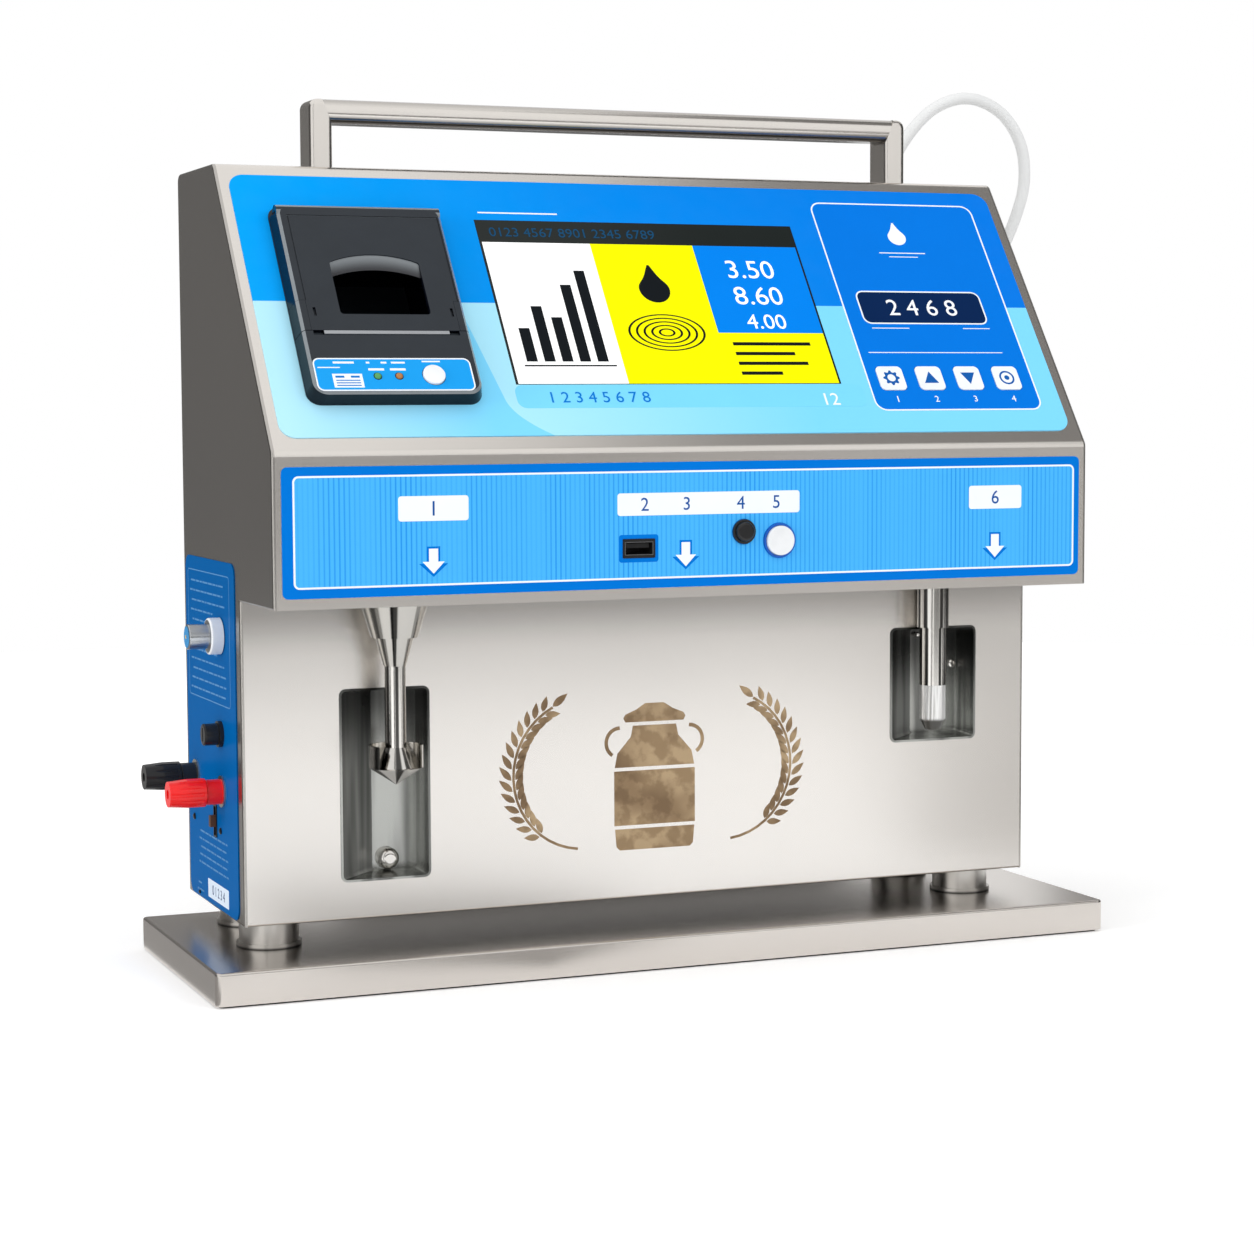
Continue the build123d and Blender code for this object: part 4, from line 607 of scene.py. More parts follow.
class ANALYZER_OT_stage(AnalyzerStep, bpy.types.Operator):
    """Sets the camera, the pale floor, the soft lamps and the cards that metal mirrors"""

    bl_idname = "analyzer.stage"
    bl_label = "Stage"

    def execute(self, context):
        look = look_of(context, "stage")
        scene = context.scene
        scene.view_settings.view_transform = "Standard"
        self.set_camera(scene, look.lens)
        self.set_world(scene, look.room_light)
        self.set_floor(look.floor)
        self.set_lamps(look)
        return {"FINISHED"}

    def set_camera(self, scene, lens):
        data = bpy.data.cameras.new("camera")
        data.lens = lens
        data.sensor_width = 36
        camera = bpy.data.objects.new("camera", data)
        yaw, pitch, roll = map(math.radians, CAMERA_TURNS)
        aim = Matrix.Rotation(-yaw, 4, "Z") @ Matrix.Rotation(math.pi / 2 - pitch, 4, "X")
        camera.matrix_world = Matrix.Translation(CAMERA_PLACE) @ aim @ Matrix.Rotation(roll, 4, "Z")
        scene.collection.objects.link(camera)
        scene.camera = camera

    def set_world(self, scene, level):
        world = bpy.data.worlds.new("room")
        world.use_nodes = True
        tree = Tree(world.node_tree)
        ground = tree.tree.nodes["Background"]
        rays = tree.node("ShaderNodeLightPath").outputs
        seen = tree.maths("MAXIMUM", rays["Is Camera Ray"], rays["Is Glossy Ray"])
        seen = tree.maths("MAXIMUM", seen, rays["Is Transmission Ray"])
        tree.feed(ground.inputs["Color"], (1, 1, 1))
        tree.feed(ground.inputs["Strength"], tree.spread(seen, level, 1.0))
        scene.world = world

    def set_floor(self, base):
        mesh = bmesh.new()
        mesh.faces.new([mesh.verts.new((x, y, 0)) for x, y in circle(0, 0, FLOOR_RADIUS, 64)])
        made = Recipe("floor_finish", roughness=0.9, specular_ior_level=0.1)
        made.set(base_color=made.shade(base, 0.005, 3))
        rays = made.node("ShaderNodeLightPath").outputs
        seen = made.maths("MAXIMUM", rays["Is Camera Ray"], rays["Is Glossy Ray"])
        far = made.node("ShaderNodeVectorMath", {0: made.place}, operation="LENGTH").outputs["Value"]
        glow = made.maths("MULTIPLY", seen, made.spread(far, 0.2, 0.6, 0.35, 1.1, True))
        made.set(emission_color=(1, 1, 1), emission_strength=glow)
        mesh_object("floor", mesh, made.material)

    def set_lamps(self, look):
        lamps = (
            ("key_lamp", (0.9, -1.7, 1.5), (0.0, 0.0, 0.2), 1.5, look.key_power),
            ("fill_lamp", (-0.4, -0.4, 2.0), (0.0, 0.0, 0.2), 1.2, look.fill_power),
            ("side_lamp", (-1.9, -0.3, 0.5), (-0.2, 0.0, 0.15), 1.0, look.side_power),
        )
        for name, place, target, size, power in lamps:
            data = bpy.data.lights.new(name, "AREA")
            data.size = size
            data.energy = power
            lamp = bpy.data.objects.new(name, data)
            lamp.location = place
            aim = Vector(target) - Vector(place)
            lamp.rotation_euler = aim.to_track_quat("-Z", "Y").to_euler()
            lamp.visible_glossy = False
            bpy.context.scene.collection.objects.link(lamp)
        dark, middle = look.card_dark, look.card_middle
        uprights = (
            ("side_card", 203, 28, 2.0, -0.05, 1.6, dark * 4),
            ("left_card", 252, 26, 1.8, -0.05, 1.5, dark),
            ("camera_card", -29, 4, 1.6, 0.0, 1.5, dark),
            ("far_card", 3, 19, 1.25, 0.0, 0.32, middle * 0.36),
            ("far_right_card", 32, 10, 1.25, 0.0, 0.32, middle * 0.9),
            ("right_card", 75, 31, 1.7, 0.0, 1.5, dark),
            ("back_right_card", 125, 18, 1.8, 0.0, 1.4, middle * 0.5),
            ("back_card", 159, 9, 1.9, 0.0, 1.2, dark * 2),
            ("back_left_card", 175, 6, 1.9, 0.0, 1.2, middle * 0.5),
        )
        for name, *place, level in uprights:
            self.set_card(name, self.upright(*place), level)
        below_pipe = [length * MM for length in SAMPLE_AXIS]
        wedges = (
            ("left_floor_card", (0, 0), -112, -62, 0.5, 1.6, dark),
            ("right_floor_card", (0, 0), 62, 108, 0.5, 1.6, dark * 2),
            ("low_floor_card", (0.1, 0), 30, 60, 0.24, 1.1, middle * 1.4),
            ("camera_floor_card", below_pipe, -33, -22, 0.12, 1.5, dark),
            ("funnel_floor_card", below_pipe, -10, 60, 0.08, 0.2, middle * 0.8),
        )
        for name, *place, level in wedges:
            self.set_card(name, self.wedge(*place), level)
        self.set_card("top_card", self.lying(0.66, 2.1, -1.2, 0.3, 1.9), look.card_top)
        self.set_card("floor_card", self.lying(-1.6, -0.2145, -0.1, 1.5, 0.001), middle * 0.8)

    def upright(self, turn, spread, distance, low, high):
        """Corners of a card on its edge, at a turn in degrees from straight ahead."""
        angle = math.radians(turn)
        away = Vector((math.sin(angle), -math.cos(angle), 0)) * distance
        aside = Vector((math.cos(angle), math.sin(angle), 0)) * distance * math.tan(math.radians(spread))
        lift, drop = Vector((0, 0, high)), Vector((0, 0, low))
        return (away - aside + drop, away + aside + drop, away + aside + lift, away - aside + lift)

    def wedge(self, tip, start, end, near, far):
        """Corners of a card on the floor between two turns, from a near reach to a far one."""
        found = []
        for turn, reach in ((start, near), (end, near), (end, far), (start, far)):
            found.append((*round_from(*tip, reach, math.radians(turn - 90)), CARD_LIFT))
        return found

    def lying(self, x0, x1, y0, y1, z):
        return ((x0, y0, z), (x1, y0, z), (x1, y1, z), (x0, y1, z))

    def set_card(self, name, corners, level):
        """A grey card that only reflections see."""
        mesh = bmesh.new()
        mesh.faces.new([mesh.verts.new(corner) for corner in corners])
        made = Recipe(name + "_finish", base_color=(0.01, 0.01, 0.01), roughness=1.0)
        made.set(emission_color=(1, 0.98, 0.96), emission_strength=level)
        card = mesh_object(name, mesh, made.material)
        card.visible_camera = card.visible_diffuse = False
        card.visible_shadow = card.visible_transmission = False


class ANALYZER_OT_hose(AnalyzerStep, bpy.types.Operator):
    """Lays the free hose from fitting to fitting"""

    bl_idname = "analyzer.hose"
    bl_label = "Hose"

    def execute(self, context):
        look = look_of(context, "plastic")
        route = (
            [(170.0, 80.0, 332.0), (170.0, 80.0, 349.0), (178.0, 81.0, 368.2), (189.4, 81.8, 385.6)]
            + [(204.6, 82.4, 399.4), (223.9, 82.6, 404.9), (243.4, 82.4, 398.0), (255.4, 82.0, 381.6)]
            + [(257.2, 81.6, 361.6), (251.8, 81.2, 344.5), (244.2, 80.8, 328.8), (235.0, 80.4, 314.0)]
            + [(222.0, 80.0, 300.4), (205.8, 80.0, 292.0), (188.5, 80.0, 292.0)]
        )
        curve = bpy.data.curves.new("free_hose", "CURVE")
        curve.dimensions = "3D"
        spline = curve.splines.new("NURBS")
        spline.points.add(len(route) - 1)
        for point, (x, y, z) in zip(spline.points, route):
            point.co = (x * MM, y * MM, z * MM, 1)
        spline.order_u = 3
        spline.use_endpoint_u = True
        spline.resolution_u = 12
        curve.bevel_depth = look.hose_diameter / 2
        curve.bevel_resolution = 8
        curve.use_fill_caps = True
        made = Recipe("milky_hose", roughness=0.4, specular_ior_level=0.2)
        made.set(base_color=made.shade(look.hose, 0.01, 50))
        curve.materials.append(made.material)
        hose = bpy.data.objects.new("free_hose", curve)
        context.scene.collection.objects.link(hose)
        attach(hose, "housing")
        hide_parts("loop_hose")
        return {"FINISHED"}


class ANALYZER_OT_steelwork(AnalyzerStep, bpy.types.Operator):
    """Gives the steel parts their brushed and turned finishes"""

    bl_idname = "analyzer.steelwork"
    bl_label = "Steelwork"

    def execute(self, context):
        look = look_of(context, "steel")
        grain, bright = look.grain, look.bright
        across, upright = (0.006, 1, 1), (1, 1, 0.006)
        # Painted shade on the cabinet front under the console: darker from 139 mm up to 168 mm.
        painted_shade_under_console = (0.139, 0.168, 0.55)
        sheets = (
            ("brushed_across", look.sheet, across, None, "console_shell rear_cover console_underside"),
            ("brushed_base", look.base, across, None, "base_plate"),
            ("brushed_front", look.front, across, painted_shade_under_console, "cabinet_front"),
            # The bottom plate's dark steel is painted shade.
            ("shaded_plate", tone(84, 82, 80), across, None, "bottom_plate"),
            ("brushed_upright", look.side, upright, None, "left_side_panel right_side_panel"),
        )
        for name, base, stretch, shaded, dressed in sheets:
            finish_nodes(steel_sheet(name, base, stretch, grain, shaded), *dressed.split())
        sides = steel_sheet("brushed_console_sides", look.sheet, upright, grain)
        paint_faces("console_shell", sides, lambda centre, out: abs(out.x) > 0.7)
        # Painted light on the handle bar: dark along its underside, lightest across its middle, darker
        # again along its top.
        painted_ramps = [(0.16, 1.0, 0.3732, 0.377), (1.0, 0.62, 0.3795, 0.3825)]
        bar = graded_steel("satin_bar", look.sheet, 0.2, painted_ramps, (900, (0.02, 1, 1)), grain)
        finish_nodes(bar, "handle")
        posts = steel_sheet("brushed_posts", look.sheet, (1, 1, 0.02), grain)
        paint_faces("handle", posts, lambda centre, out: abs(centre.x) > POST_INNER * MM)
        # Painted shade on the standoffs: dark at their feet by the base plate and towards their tops under
        # the cabinet.
        painted_ramps = [(0.12, 1.0, 0.0151, 0.0162), (1.0, 0.3, 0.0262, 0.0295)]
        feet = graded_steel("satin_feet", bright, 0.3, painted_ramps, (1200, (0.02, 0.02, 1)), grain)
        finish_nodes(feet, "standoffs")
        pattern = (1800, (1, 1, 0.03))
        # Painted shade in the pockets, darker towards their tops, with painted reflections as long upright
        # bands.
        for name, low, high in (("left_pocket", 0.085, 0.122), ("right_pocket", 0.105, 0.136)):
            painted_ramps = [(1.0, 0.2, low, high)]
            drawn, wall = (
                graded_steel(kind + name, look.pocket, 0.24, painted_ramps, pattern, grain, metallic, True)
                for kind, metallic in (("drawn_", 1.0), ("wall_", 0.5))
            )
            finish_nodes(drawn, name)
            paint_faces(name, wall, lambda centre, out: out.x > 0.3)
        turned = turned_steel("turned_bright", bright)
        finish_nodes(turned, "drain_fitting", "hose_fittings", "screws", "lid_hinge_pin")
        # The funnel, sample pipe and probe tube carry painted reflections: dark upright streaks at fixed
        # turns round their axes.
        streaks = [(-18.0, 9.0, 0.08), (-60.0, 9.0, 0.3), (28.0, 5.0, 0.45), (-92.0, 22.0, 0.4)]
        finish_nodes(painted_reflections("streaked_funnel", look.funnel, SAMPLE_AXIS, streaks), "funnel")
        streaks = [(-9.0, 13.0, 0.1), (-72.0, 22.0, 0.12)]
        finish_nodes(painted_reflections("streaked_pipe", bright, SAMPLE_AXIS, streaks), "sample_pipe")
        under = painted_reflections("cup_underside", bright, SAMPLE_AXIS, streaks, 0.3)
        paint_faces("sample_pipe", under, lambda centre, out: out.z < -0.3)
        streaks = [(-87.0, 10.0, 0.1), (-56.0, 10.0, 0.1), (4.0, 9.0, 0.1), (34.0, 10.0, 0.15)]
        finish_nodes(painted_reflections("streaked_tube", bright, PROBE_AXIS, streaks), "probe_tube")
        finish_nodes(moulded("mat_rubber", tone(26, 26, 27), 0.8, 0.00005, 900), "base_mat")
        self.pocket_fittings(turned)
        return {"FINISHED"}

    def pocket_fittings(self, finish):
        mesh = bmesh.new()
        back = FRONT_THICK - POCKET_DEPTH
        collar = [(0, -0.1), (1.85, -0.1), (1.85, 0.9), (1.1, 1.2), (0.9, 0.5), (0, 0.5)]
        knob = [(0, -0.1), (1.2, -0.1), (1.2, 2.2), (0.8, 2.8), (0, 3.0)]
        for u, v, profile in ((161.0, 124.4, collar), (141.5, 139.0, knob)):
            add_turned(mesh, FRONT, u, v, [(radius, back + n) for radius, n in profile])
        piece_from(mesh, "pocket_fasteners", finish, "housing", True)


class ANALYZER_OT_motif(AnalyzerStep, bpy.types.Operator):
    """Prints a plain dairy motif in tan on the cabinet front"""

    bl_idname = "analyzer.motif"
    bl_label = "Front motif"

    def execute(self, context):
        look = look_of(context, "print")
        made = Recipe("tan_mottle", roughness=0.5, metallic=0.25)
        patch = made.spread(made.noise(130, detail=6), 0, 1, 0.42, 0.58, True)
        broad = made.spread(made.noise(38, detail=2), 0, 1, 0.38, 0.62, True)
        dark = made.mix(patch, look.motif, tone(150, 124, 92))
        pale = made.mix(patch, tone(160, 134, 100), look.motif_pale)
        made.set(base_color=made.mix(broad, dark, pale))
        made.bump(patch, 0.00001)
        shapes = {"front_motif": self.can() + self.leaves(), "front_motif_stems": self.stems()}
        for name, found in shapes.items():
            printed(name, FRONT, found, made.material, 1, 0.0)
        return {"FINISHED"}

    def mirrored(self, half):
        return half + [(-u, v) for u, v in reversed(half) if abs(u) > 1e-6]

    def can(self):
        """A churn in three hoops with its lid, and its two bails."""
        low = 48.0
        parts = (
            [(0, 0), (17.2, 0), (18.8, 1.6), (19.5, 9.6), (0, 9.6)],
            [(0, 11.2), (19.8, 11.2), (19.8, 36.0), (0, 36.0)],
            [(0, 37.6), (19.5, 37.6), (18.2, 44.0), (11.6, 51.4), (10.6, 56.4), (0, 56.4)],
            [(0, 58.0), (14.2, 58.0), (15.2, 59.8), (14.2, 61.6), (9.0, 63.6), (4.6, 66.4), (0, 66.4)],
        )
        found = [self.mirrored([(u, v + low) for u, v in part]) for part in parts]
        for sign in (-1, 1):
            arc = []
            for i in range(13):
                turn = math.radians(-58 + 150 * i / 12)
                arc.append((sign * (17.2 + 6.4 * math.cos(turn)), low + 49.0 + 6.6 * math.sin(turn)))
            found.append(ribbon(arc, 1.7))
        return found

    def stem(self, sign):
        turns = [math.radians(-84 + 8.2 * i) for i in range(19)]
        return [(sign * (34 + 34 * math.cos(t)), 84 + 34 * math.sin(t)) for t in turns]

    def stems(self):
        """A bowed ear of grain on each side has one stem."""
        return [ribbon(self.stem(sign), 1.2) for sign in (-1, 1)]

    def leaves(self):
        """Grains in pairs up each stem and one at its tip, clear of it and of each other."""
        found = []
        for sign in (-1, 1):
            stem = self.stem(sign)
            for i in range(4, 18):
                (u, v), (last_u, last_v) = stem[i], stem[i - 1]
                run = math.atan2(v - last_v, u - last_u)
                size = 8.6 - 0.2 * abs(i - 10)
                for side in (-1, 1):
                    step = run + side * math.pi / 2
                    root = round_from(u, v, 1.0, step)
                    found.append(leaf_outline(*root, size, 3.0, run + side * 0.62))
            u, v = stem[-1]
            found.append(leaf_outline(u, v + 0.4, 9.0, 3.4, math.pi / 2 + sign * 0.9))
        return found


class ANALYZER_OT_slope_print(AnalyzerStep, bpy.types.Operator):
    """Prints the console film and the field round the keys"""

    bl_idname = "analyzer.slope_print"
    bl_label = "Console film"

    def execute(self, context):
        look = look_of(context, "print")
        finish_nodes(slope_print(look), "slope_overlay")
        white = ink("white_ink", look.white)
        holes = [rounded(*self.key_hole(i), 2.6) for i in range(4)]
        printed("keypad_field", SLOPE, [(rounded(*PAD), holes)], ink("keypad_blue", look.keypad))
        lines = [frame_line(*PAD, 0.7), frame_line(98.0, 162.5, 67.5, 86.5, 4.0, 0.7)]
        lines += boxes((95.0, 164.0, 51.0, 51.4), (101.0, 120.0, 64.9, 65.3), (148.0, 162.0, 64.9, 65.3))
        lines += boxes((118.0, 142.0, 108.8, 109.3), (122.5, 137.5, 106.6, 107.0))
        lines += boxes((-75.5, -38.0, 127.6, 128.3))
        lines.append(drop_outline(130.0, 118.5, 4.6))
        printed("slope_white_print", SLOPE, lines, white, 3)
        plate = boxes((98.4, 162.1, 67.9, 86.1, 3.7))
        printed("navy_plate", SLOPE, plate, ink("navy_ink", look.navy, 0.25), 2)
        rows = [("2 4 6 8", 130.2, 77.0, 9.0), ("12", 69.0, 25.4, 6.4)]
        rows += [(str(i + 1), KEY_X + KEY_PITCH * i, 25.2, 3.2) for i in range(4)]
        numbers("slope_white_numbers", SLOPE, rows, white, 4)
        sill = boxes((-79.5, 86.0, 21.4, 33.6, 4.0))
        printed("screen_sill", SLOPE, sill, ink("sill_blue", tone(124, 215, 253)))
        rows = [("1 2 3 4 5 6 7 8", -41.0, 27.0, 5.6)]
        numbers("slope_blue_numbers", SLOPE, rows, ink("caption_blue", tone(8, 122, 210)), 3)
        return {"FINISHED"}

    def key_hole(self, i):
        u, v, half = KEY_X + KEY_PITCH * i, KEY_HEIGHT, KEY_HALF
        return (u - half, u + half, v - half, v + half)


class ANALYZER_OT_screen(AnalyzerStep, bpy.types.Operator):
    """Fills the screen with a plain readout in white, yellow and blue"""

    bl_idname = "analyzer.screen"
    bl_label = "Screen picture"

    def execute(self, context):
        look = look_of(context, "screen")
        glass = Recipe("screen_glass", roughness=0.2, specular_ior_level=0.2)
        glass.set(base_color=glass.shade(look.dark, 0.06, 30))
        finish_nodes(glass.material, "lcd_module")
        fields = {
            "white": [(-77.0, -26.2, 34.2, 111.4)],
            "yellow": [(-26.2, 23.6, 34.2, 111.4), (23.6, 75.2, 34.2, 62.0)],
            "blue": [(23.6, 75.2, 62.0, 111.4)],
        }
        for name, sizes in fields.items():
            lit = ink("lit_" + name, getattr(look, name), 0.3, look.glow)
            printed("screen_" + name, SLOPE, boxes(*sizes), lit)
        dark = ink("lit_dark", tone(22, 26, 30), 0.3)
        printed("screen_marks", SLOPE, self.marks(), dark, 2)
        rows = [("3.50", 48.8, 98.0, 10.0), ("8.60", 48.8, 83.0, 10.0), ("4.00", 48.8, 68.4, 8.0)]
        lit = ink("lit_numbers", look.white, 0.3, look.glow)
        numbers("screen_numbers", SLOPE, rows, lit, 2)
        rows = [("0123 4567 8901 2345 6789", -33.0, 117.2, 5.0)]
        numbers("screen_title", SLOPE, rows, ink("dim_blue", tone(22, 74, 112), 0.3), 1)
        return {"FINISHED"}

    def marks(self):
        """Bars over a line, a drop over ripples, and four short lines."""
        shapes = boxes((-72.0, -29.5, 43.4, 44.2))
        for i, height in enumerate((12, 24, 18, 36, 44)):
            shapes += boxes((-70.5 + 8.2 * i, -65.5 + 8.2 * i, 46.0, 52.0 + height))
        for i in range(5):
            shapes.append(ring(self.ripple(4.0 + 3.6 * i), self.ripple(2.9 + 3.6 * i)))
        shapes.append(drop_outline(-1.2, 86.0, 7.4))
        for length, v in ((38, 55.0), (29, 49.6), (34, 44.2), (20, 38.8)):
            shapes += boxes((29.0, 29.0 + length, v, v + 1.8))
        return shapes

    def ripple(self, radius):
        middle = 62.0
        return [(u, middle + (v - middle) * 0.55) for u, v in circle(-1.2, middle, radius, 48)]


class ANALYZER_OT_keys(AnalyzerStep, bpy.types.Operator):
    """Finishes the four keys and prints a sign on each"""

    bl_idname = "analyzer.keys"
    bl_label = "Keys"

    def execute(self, context):
        finish_nodes(moulded("key_white", tone(240, 245, 250), 0.32, 0.000004), *KEYS)
        sign = ink("sign_blue", tone(24, 92, 170))
        for i, name in enumerate(KEYS):
            shape = getattr(self, name)(KEY_X + KEY_PITCH * i, KEY_HEIGHT)
            printed(name + "_sign", SLOPE, shape, sign, 1, 0.9, name)
        return {"FINISHED"}

    def menu_key(self, u, v):
        return [ring(gear_outline(u, v, 4.1), circle(u, v, 2.0, 20))]

    def up_key(self, u, v):
        return [[(u - 3.6, v - 2.9), (u + 3.6, v - 2.9), (u, v + 3.5)]]

    def down_key(self, u, v):
        return [[(u, v - 3.5), (u + 3.6, v + 2.9), (u - 3.6, v + 2.9)]]

    def enter_key(self, u, v):
        return [ring(circle(u, v, 3.8), circle(u, v, 2.9)), circle(u, v, 1.3, 20)]


class ANALYZER_OT_printer(AnalyzerStep, bpy.types.Operator):
    """Finishes the printer and prints its label"""

    bl_idname = "analyzer.printer"
    bl_label = "Printer"

    def execute(self, context):
        look = look_of(context, "plastic")
        prints = look_of(context, "print")
        body = moulded("printer_face", look.printer, 0.36, 0.00002, 3400)
        finish_nodes(body, "printer_base", "printer_lid")
        # Painted shade on the printer's walls and grooves and a painted highlight on its rounded rim.
        wall = moulded("printer_wall", look.printer_wall, 0.24, 0.000006, 1800)
        edge = moulded("printer_edge", look.printer_edge, 0.24, 0.000006, 1800, coat=0.5)
        for name in ("printer_base", "printer_lid"):
            paint_faces(name, wall, lambda centre, out: out.dot(SLOPE.out) < 0.5)
            paint_faces(name, edge, self.is_edge)
        paint_faces("printer_lid", self.visor_finish(look), self.is_visor)
        finish_nodes(moulded("platen_rubber", tone(28, 28, 29), 0.7), "platen_roller")
        finish_nodes(moulded("roll_paper", tone(226, 224, 216), 0.85, 0.00002, 500), "paper_roll")
        finish_nodes(turned_steel("tear_edge", tone(176, 179, 183), 0.3), "print_head")
        finish_nodes(moulded("feed_white", look.white, 0.3, coat=0.4), "feed_button")
        green, amber, between = tone(70, 150, 78), tone(178, 112, 44), (PRINTER_X - 4.0) * MM
        lights = two_zones("indicator_lights", between, green, amber, roughness=0.2, coat_weight=0.6)
        finish_nodes(lights, "printer_lights")
        holes = [circle(16.0, 32.8, 5.1), circle(-8.5, 32.4, 1.9, 20), circle(0.8, 32.4, 1.9, 20)]
        sizes = [(-28.0, -15.2, 26.6, 33.6), (-33.6, -24.0, 36.6, 37.1), (-26.6, -17.6, 38.9, 39.9)]
        sizes += [(-12.4, -10.9, 38.9, 39.8), (-6.0, -3.5, 38.9, 39.8), (-1.5, 4.5, 38.9, 39.8)]
        sizes += [(12.0, 20.0, 39.6, 40.3), (-12.0, -5.2, 35.3, 36.4), (-2.6, 4.2, 35.3, 36.4)]
        fine = [(-26.8, -16.4, 27.4 + 1.3 * i, 27.9 + 1.3 * i) for i in range(3)]
        fine += [(-26.8, -23.0, 31.6, 32.6), (-20.2, -16.4, 31.6, 32.6)]
        white = [frame_line(*LABEL, 0.6), *boxes(*sizes)]
        layers = (
            ("printer_label", [(rounded(*LABEL), holes)], ink("label_blue", tone(30, 158, 236))),
            ("printer_label_white", white, ink("label_white", prints.white)),
            ("printer_label_fine", boxes(*fine), ink("label_fine", tone(24, 120, 204))),
        )
        for i, (name, shapes, finish) in enumerate(layers):
            printed(name, PRINTER, shapes, finish, i + 1, PRINTER_FACE)
        return {"FINISHED"}

    def is_edge(self, centre, out):
        """The rounded rim between the face and the walls, which carries a painted highlight."""
        height = (centre - PRINTER.origin).dot(PRINTER.out)
        return 0.5 <= out.dot(PRINTER.out) < 0.985 and height > (PRINTER_FACE - 1.6) * MM

    def is_visor(self, centre, out):
        """The sloping visor over the window."""
        spot = centre - PRINTER.origin
        inside = abs(spot.dot(PRINTER.right) - 0.00145) < 0.0212 and spot.dot(PRINTER.up) > 0.08
        return inside and 0.0062 < spot.dot(PRINTER.out) < 0.0081 and out.dot(PRINTER.out) > 0.3

    def visor_finish(self, look):
        # Painted light on the visor: the walls' dark colour at its low edge fades up to the rim's highlight
        # colour at its top.
        made = Recipe("printer_visor", roughness=0.25, coat_weight=0.4, coat_roughness=0.1)
        height = made.maths("SUBTRACT", made.along(PRINTER.out), PRINTER.origin.dot(PRINTER.out))
        share = made.spread(height, 0, 1, 0.0066, 0.008, True)
        made.set(base_color=made.mix(share, look.printer_wall, look.printer_edge))
        made.bump(made.noise(1800), 0.000004)
        return made.material


class ANALYZER_OT_band(AnalyzerStep, bpy.types.Operator):
    """Prints the band film and finishes its socket and buttons"""

    bl_idname = "analyzer.band"
    bl_label = "Band"

    def execute(self, context):
        look = look_of(context, "print")
        plastic = look_of(context, "plastic")
        border = ink("band_blue", look.border)
        finish_nodes(border, "band_overlay")
        holes = [circle(19.0, 193.7, 5.6), circle(36.0, 189.5, 7.8), rounded(-38.0, -22.6, 183.2, 192.0)]
        printed("band_field", BAND, [(rounded(-182.0, 183.9, 174.8, 220.2, 2.2), holes)], striped(look))
        surround = ring(rounded(-39.5, -21.3, 181.7, 193.5, 1.2), rounded(-37.9, -22.7, 183.3, 191.9))
        arrows = [self.arrow(x, 0.9) for x in ARROWS]
        printed("band_blue_print", BAND, [surround, *arrows], border, 2)
        shapes = [frame_line(-182.4, 184.3, 174.4, 220.6, 2.5, 0.8)]
        shapes += [self.arrow(x, 0.0) for x in ARROWS]
        shapes += boxes((-137.6, -107.0, 201.3, 211.7, 1.3), (130.0, 156.9, 201.3, 211.7, 1.3))
        shapes += boxes((-40.1, 45.7, 201.6, 211.2, 1.3))
        printed("band_white_print", BAND, shapes, ink("band_white", look.white), 3)
        rows = [("1", -122.3, 206.5, 6.0), ("2", -27.5, 206.4, 5.6), ("3", -8.0, 206.4, 5.6)]
        rows += [("4", 17.5, 206.4, 5.6), ("5", 34.5, 206.4, 5.6), ("6", 143.4, 206.5, 6.0)]
        numbers("band_numbers", BAND, rows, ink("band_number_blue", tone(20, 84, 160)), 4)
        self.finish_controls(plastic)
        return {"FINISHED"}

    def arrow(self, x, grow):
        """An arrow, and the larger one that edges it."""
        width, shaft, head = 9.6 + 3.4 * grow, 4.0 + 2 * grow, 5.0 + 0.6 * grow
        return arrow_outline(x, 179.4 - 1.5 * grow, 189.8 + grow, width, shaft, head)

    def finish_controls(self, plastic):
        black = moulded("control_black", plastic.black, 0.3, coat=0.3)
        finish_nodes(black, "usb_socket", "pump_button")
        finish_nodes(moulded("stop_white", plastic.white, 0.26, 0.000004, coat=0.5), "stop_button")
        rims = two_zones("button_rims", 0.0275, plastic.black, plastic.blue, roughness=0.3)
        finish_nodes(rims, "button_switches")
        metal = turned_steel("socket_metal", tone(120, 121, 122), 0.3)
        rim = ring(rounded(-36.85, -23.75, 184.75, 190.45), rounded(-36.55, -24.05, 185.05, 190.15))
        printed("usb_rim", BAND, [rim], metal, 1, 0.7)


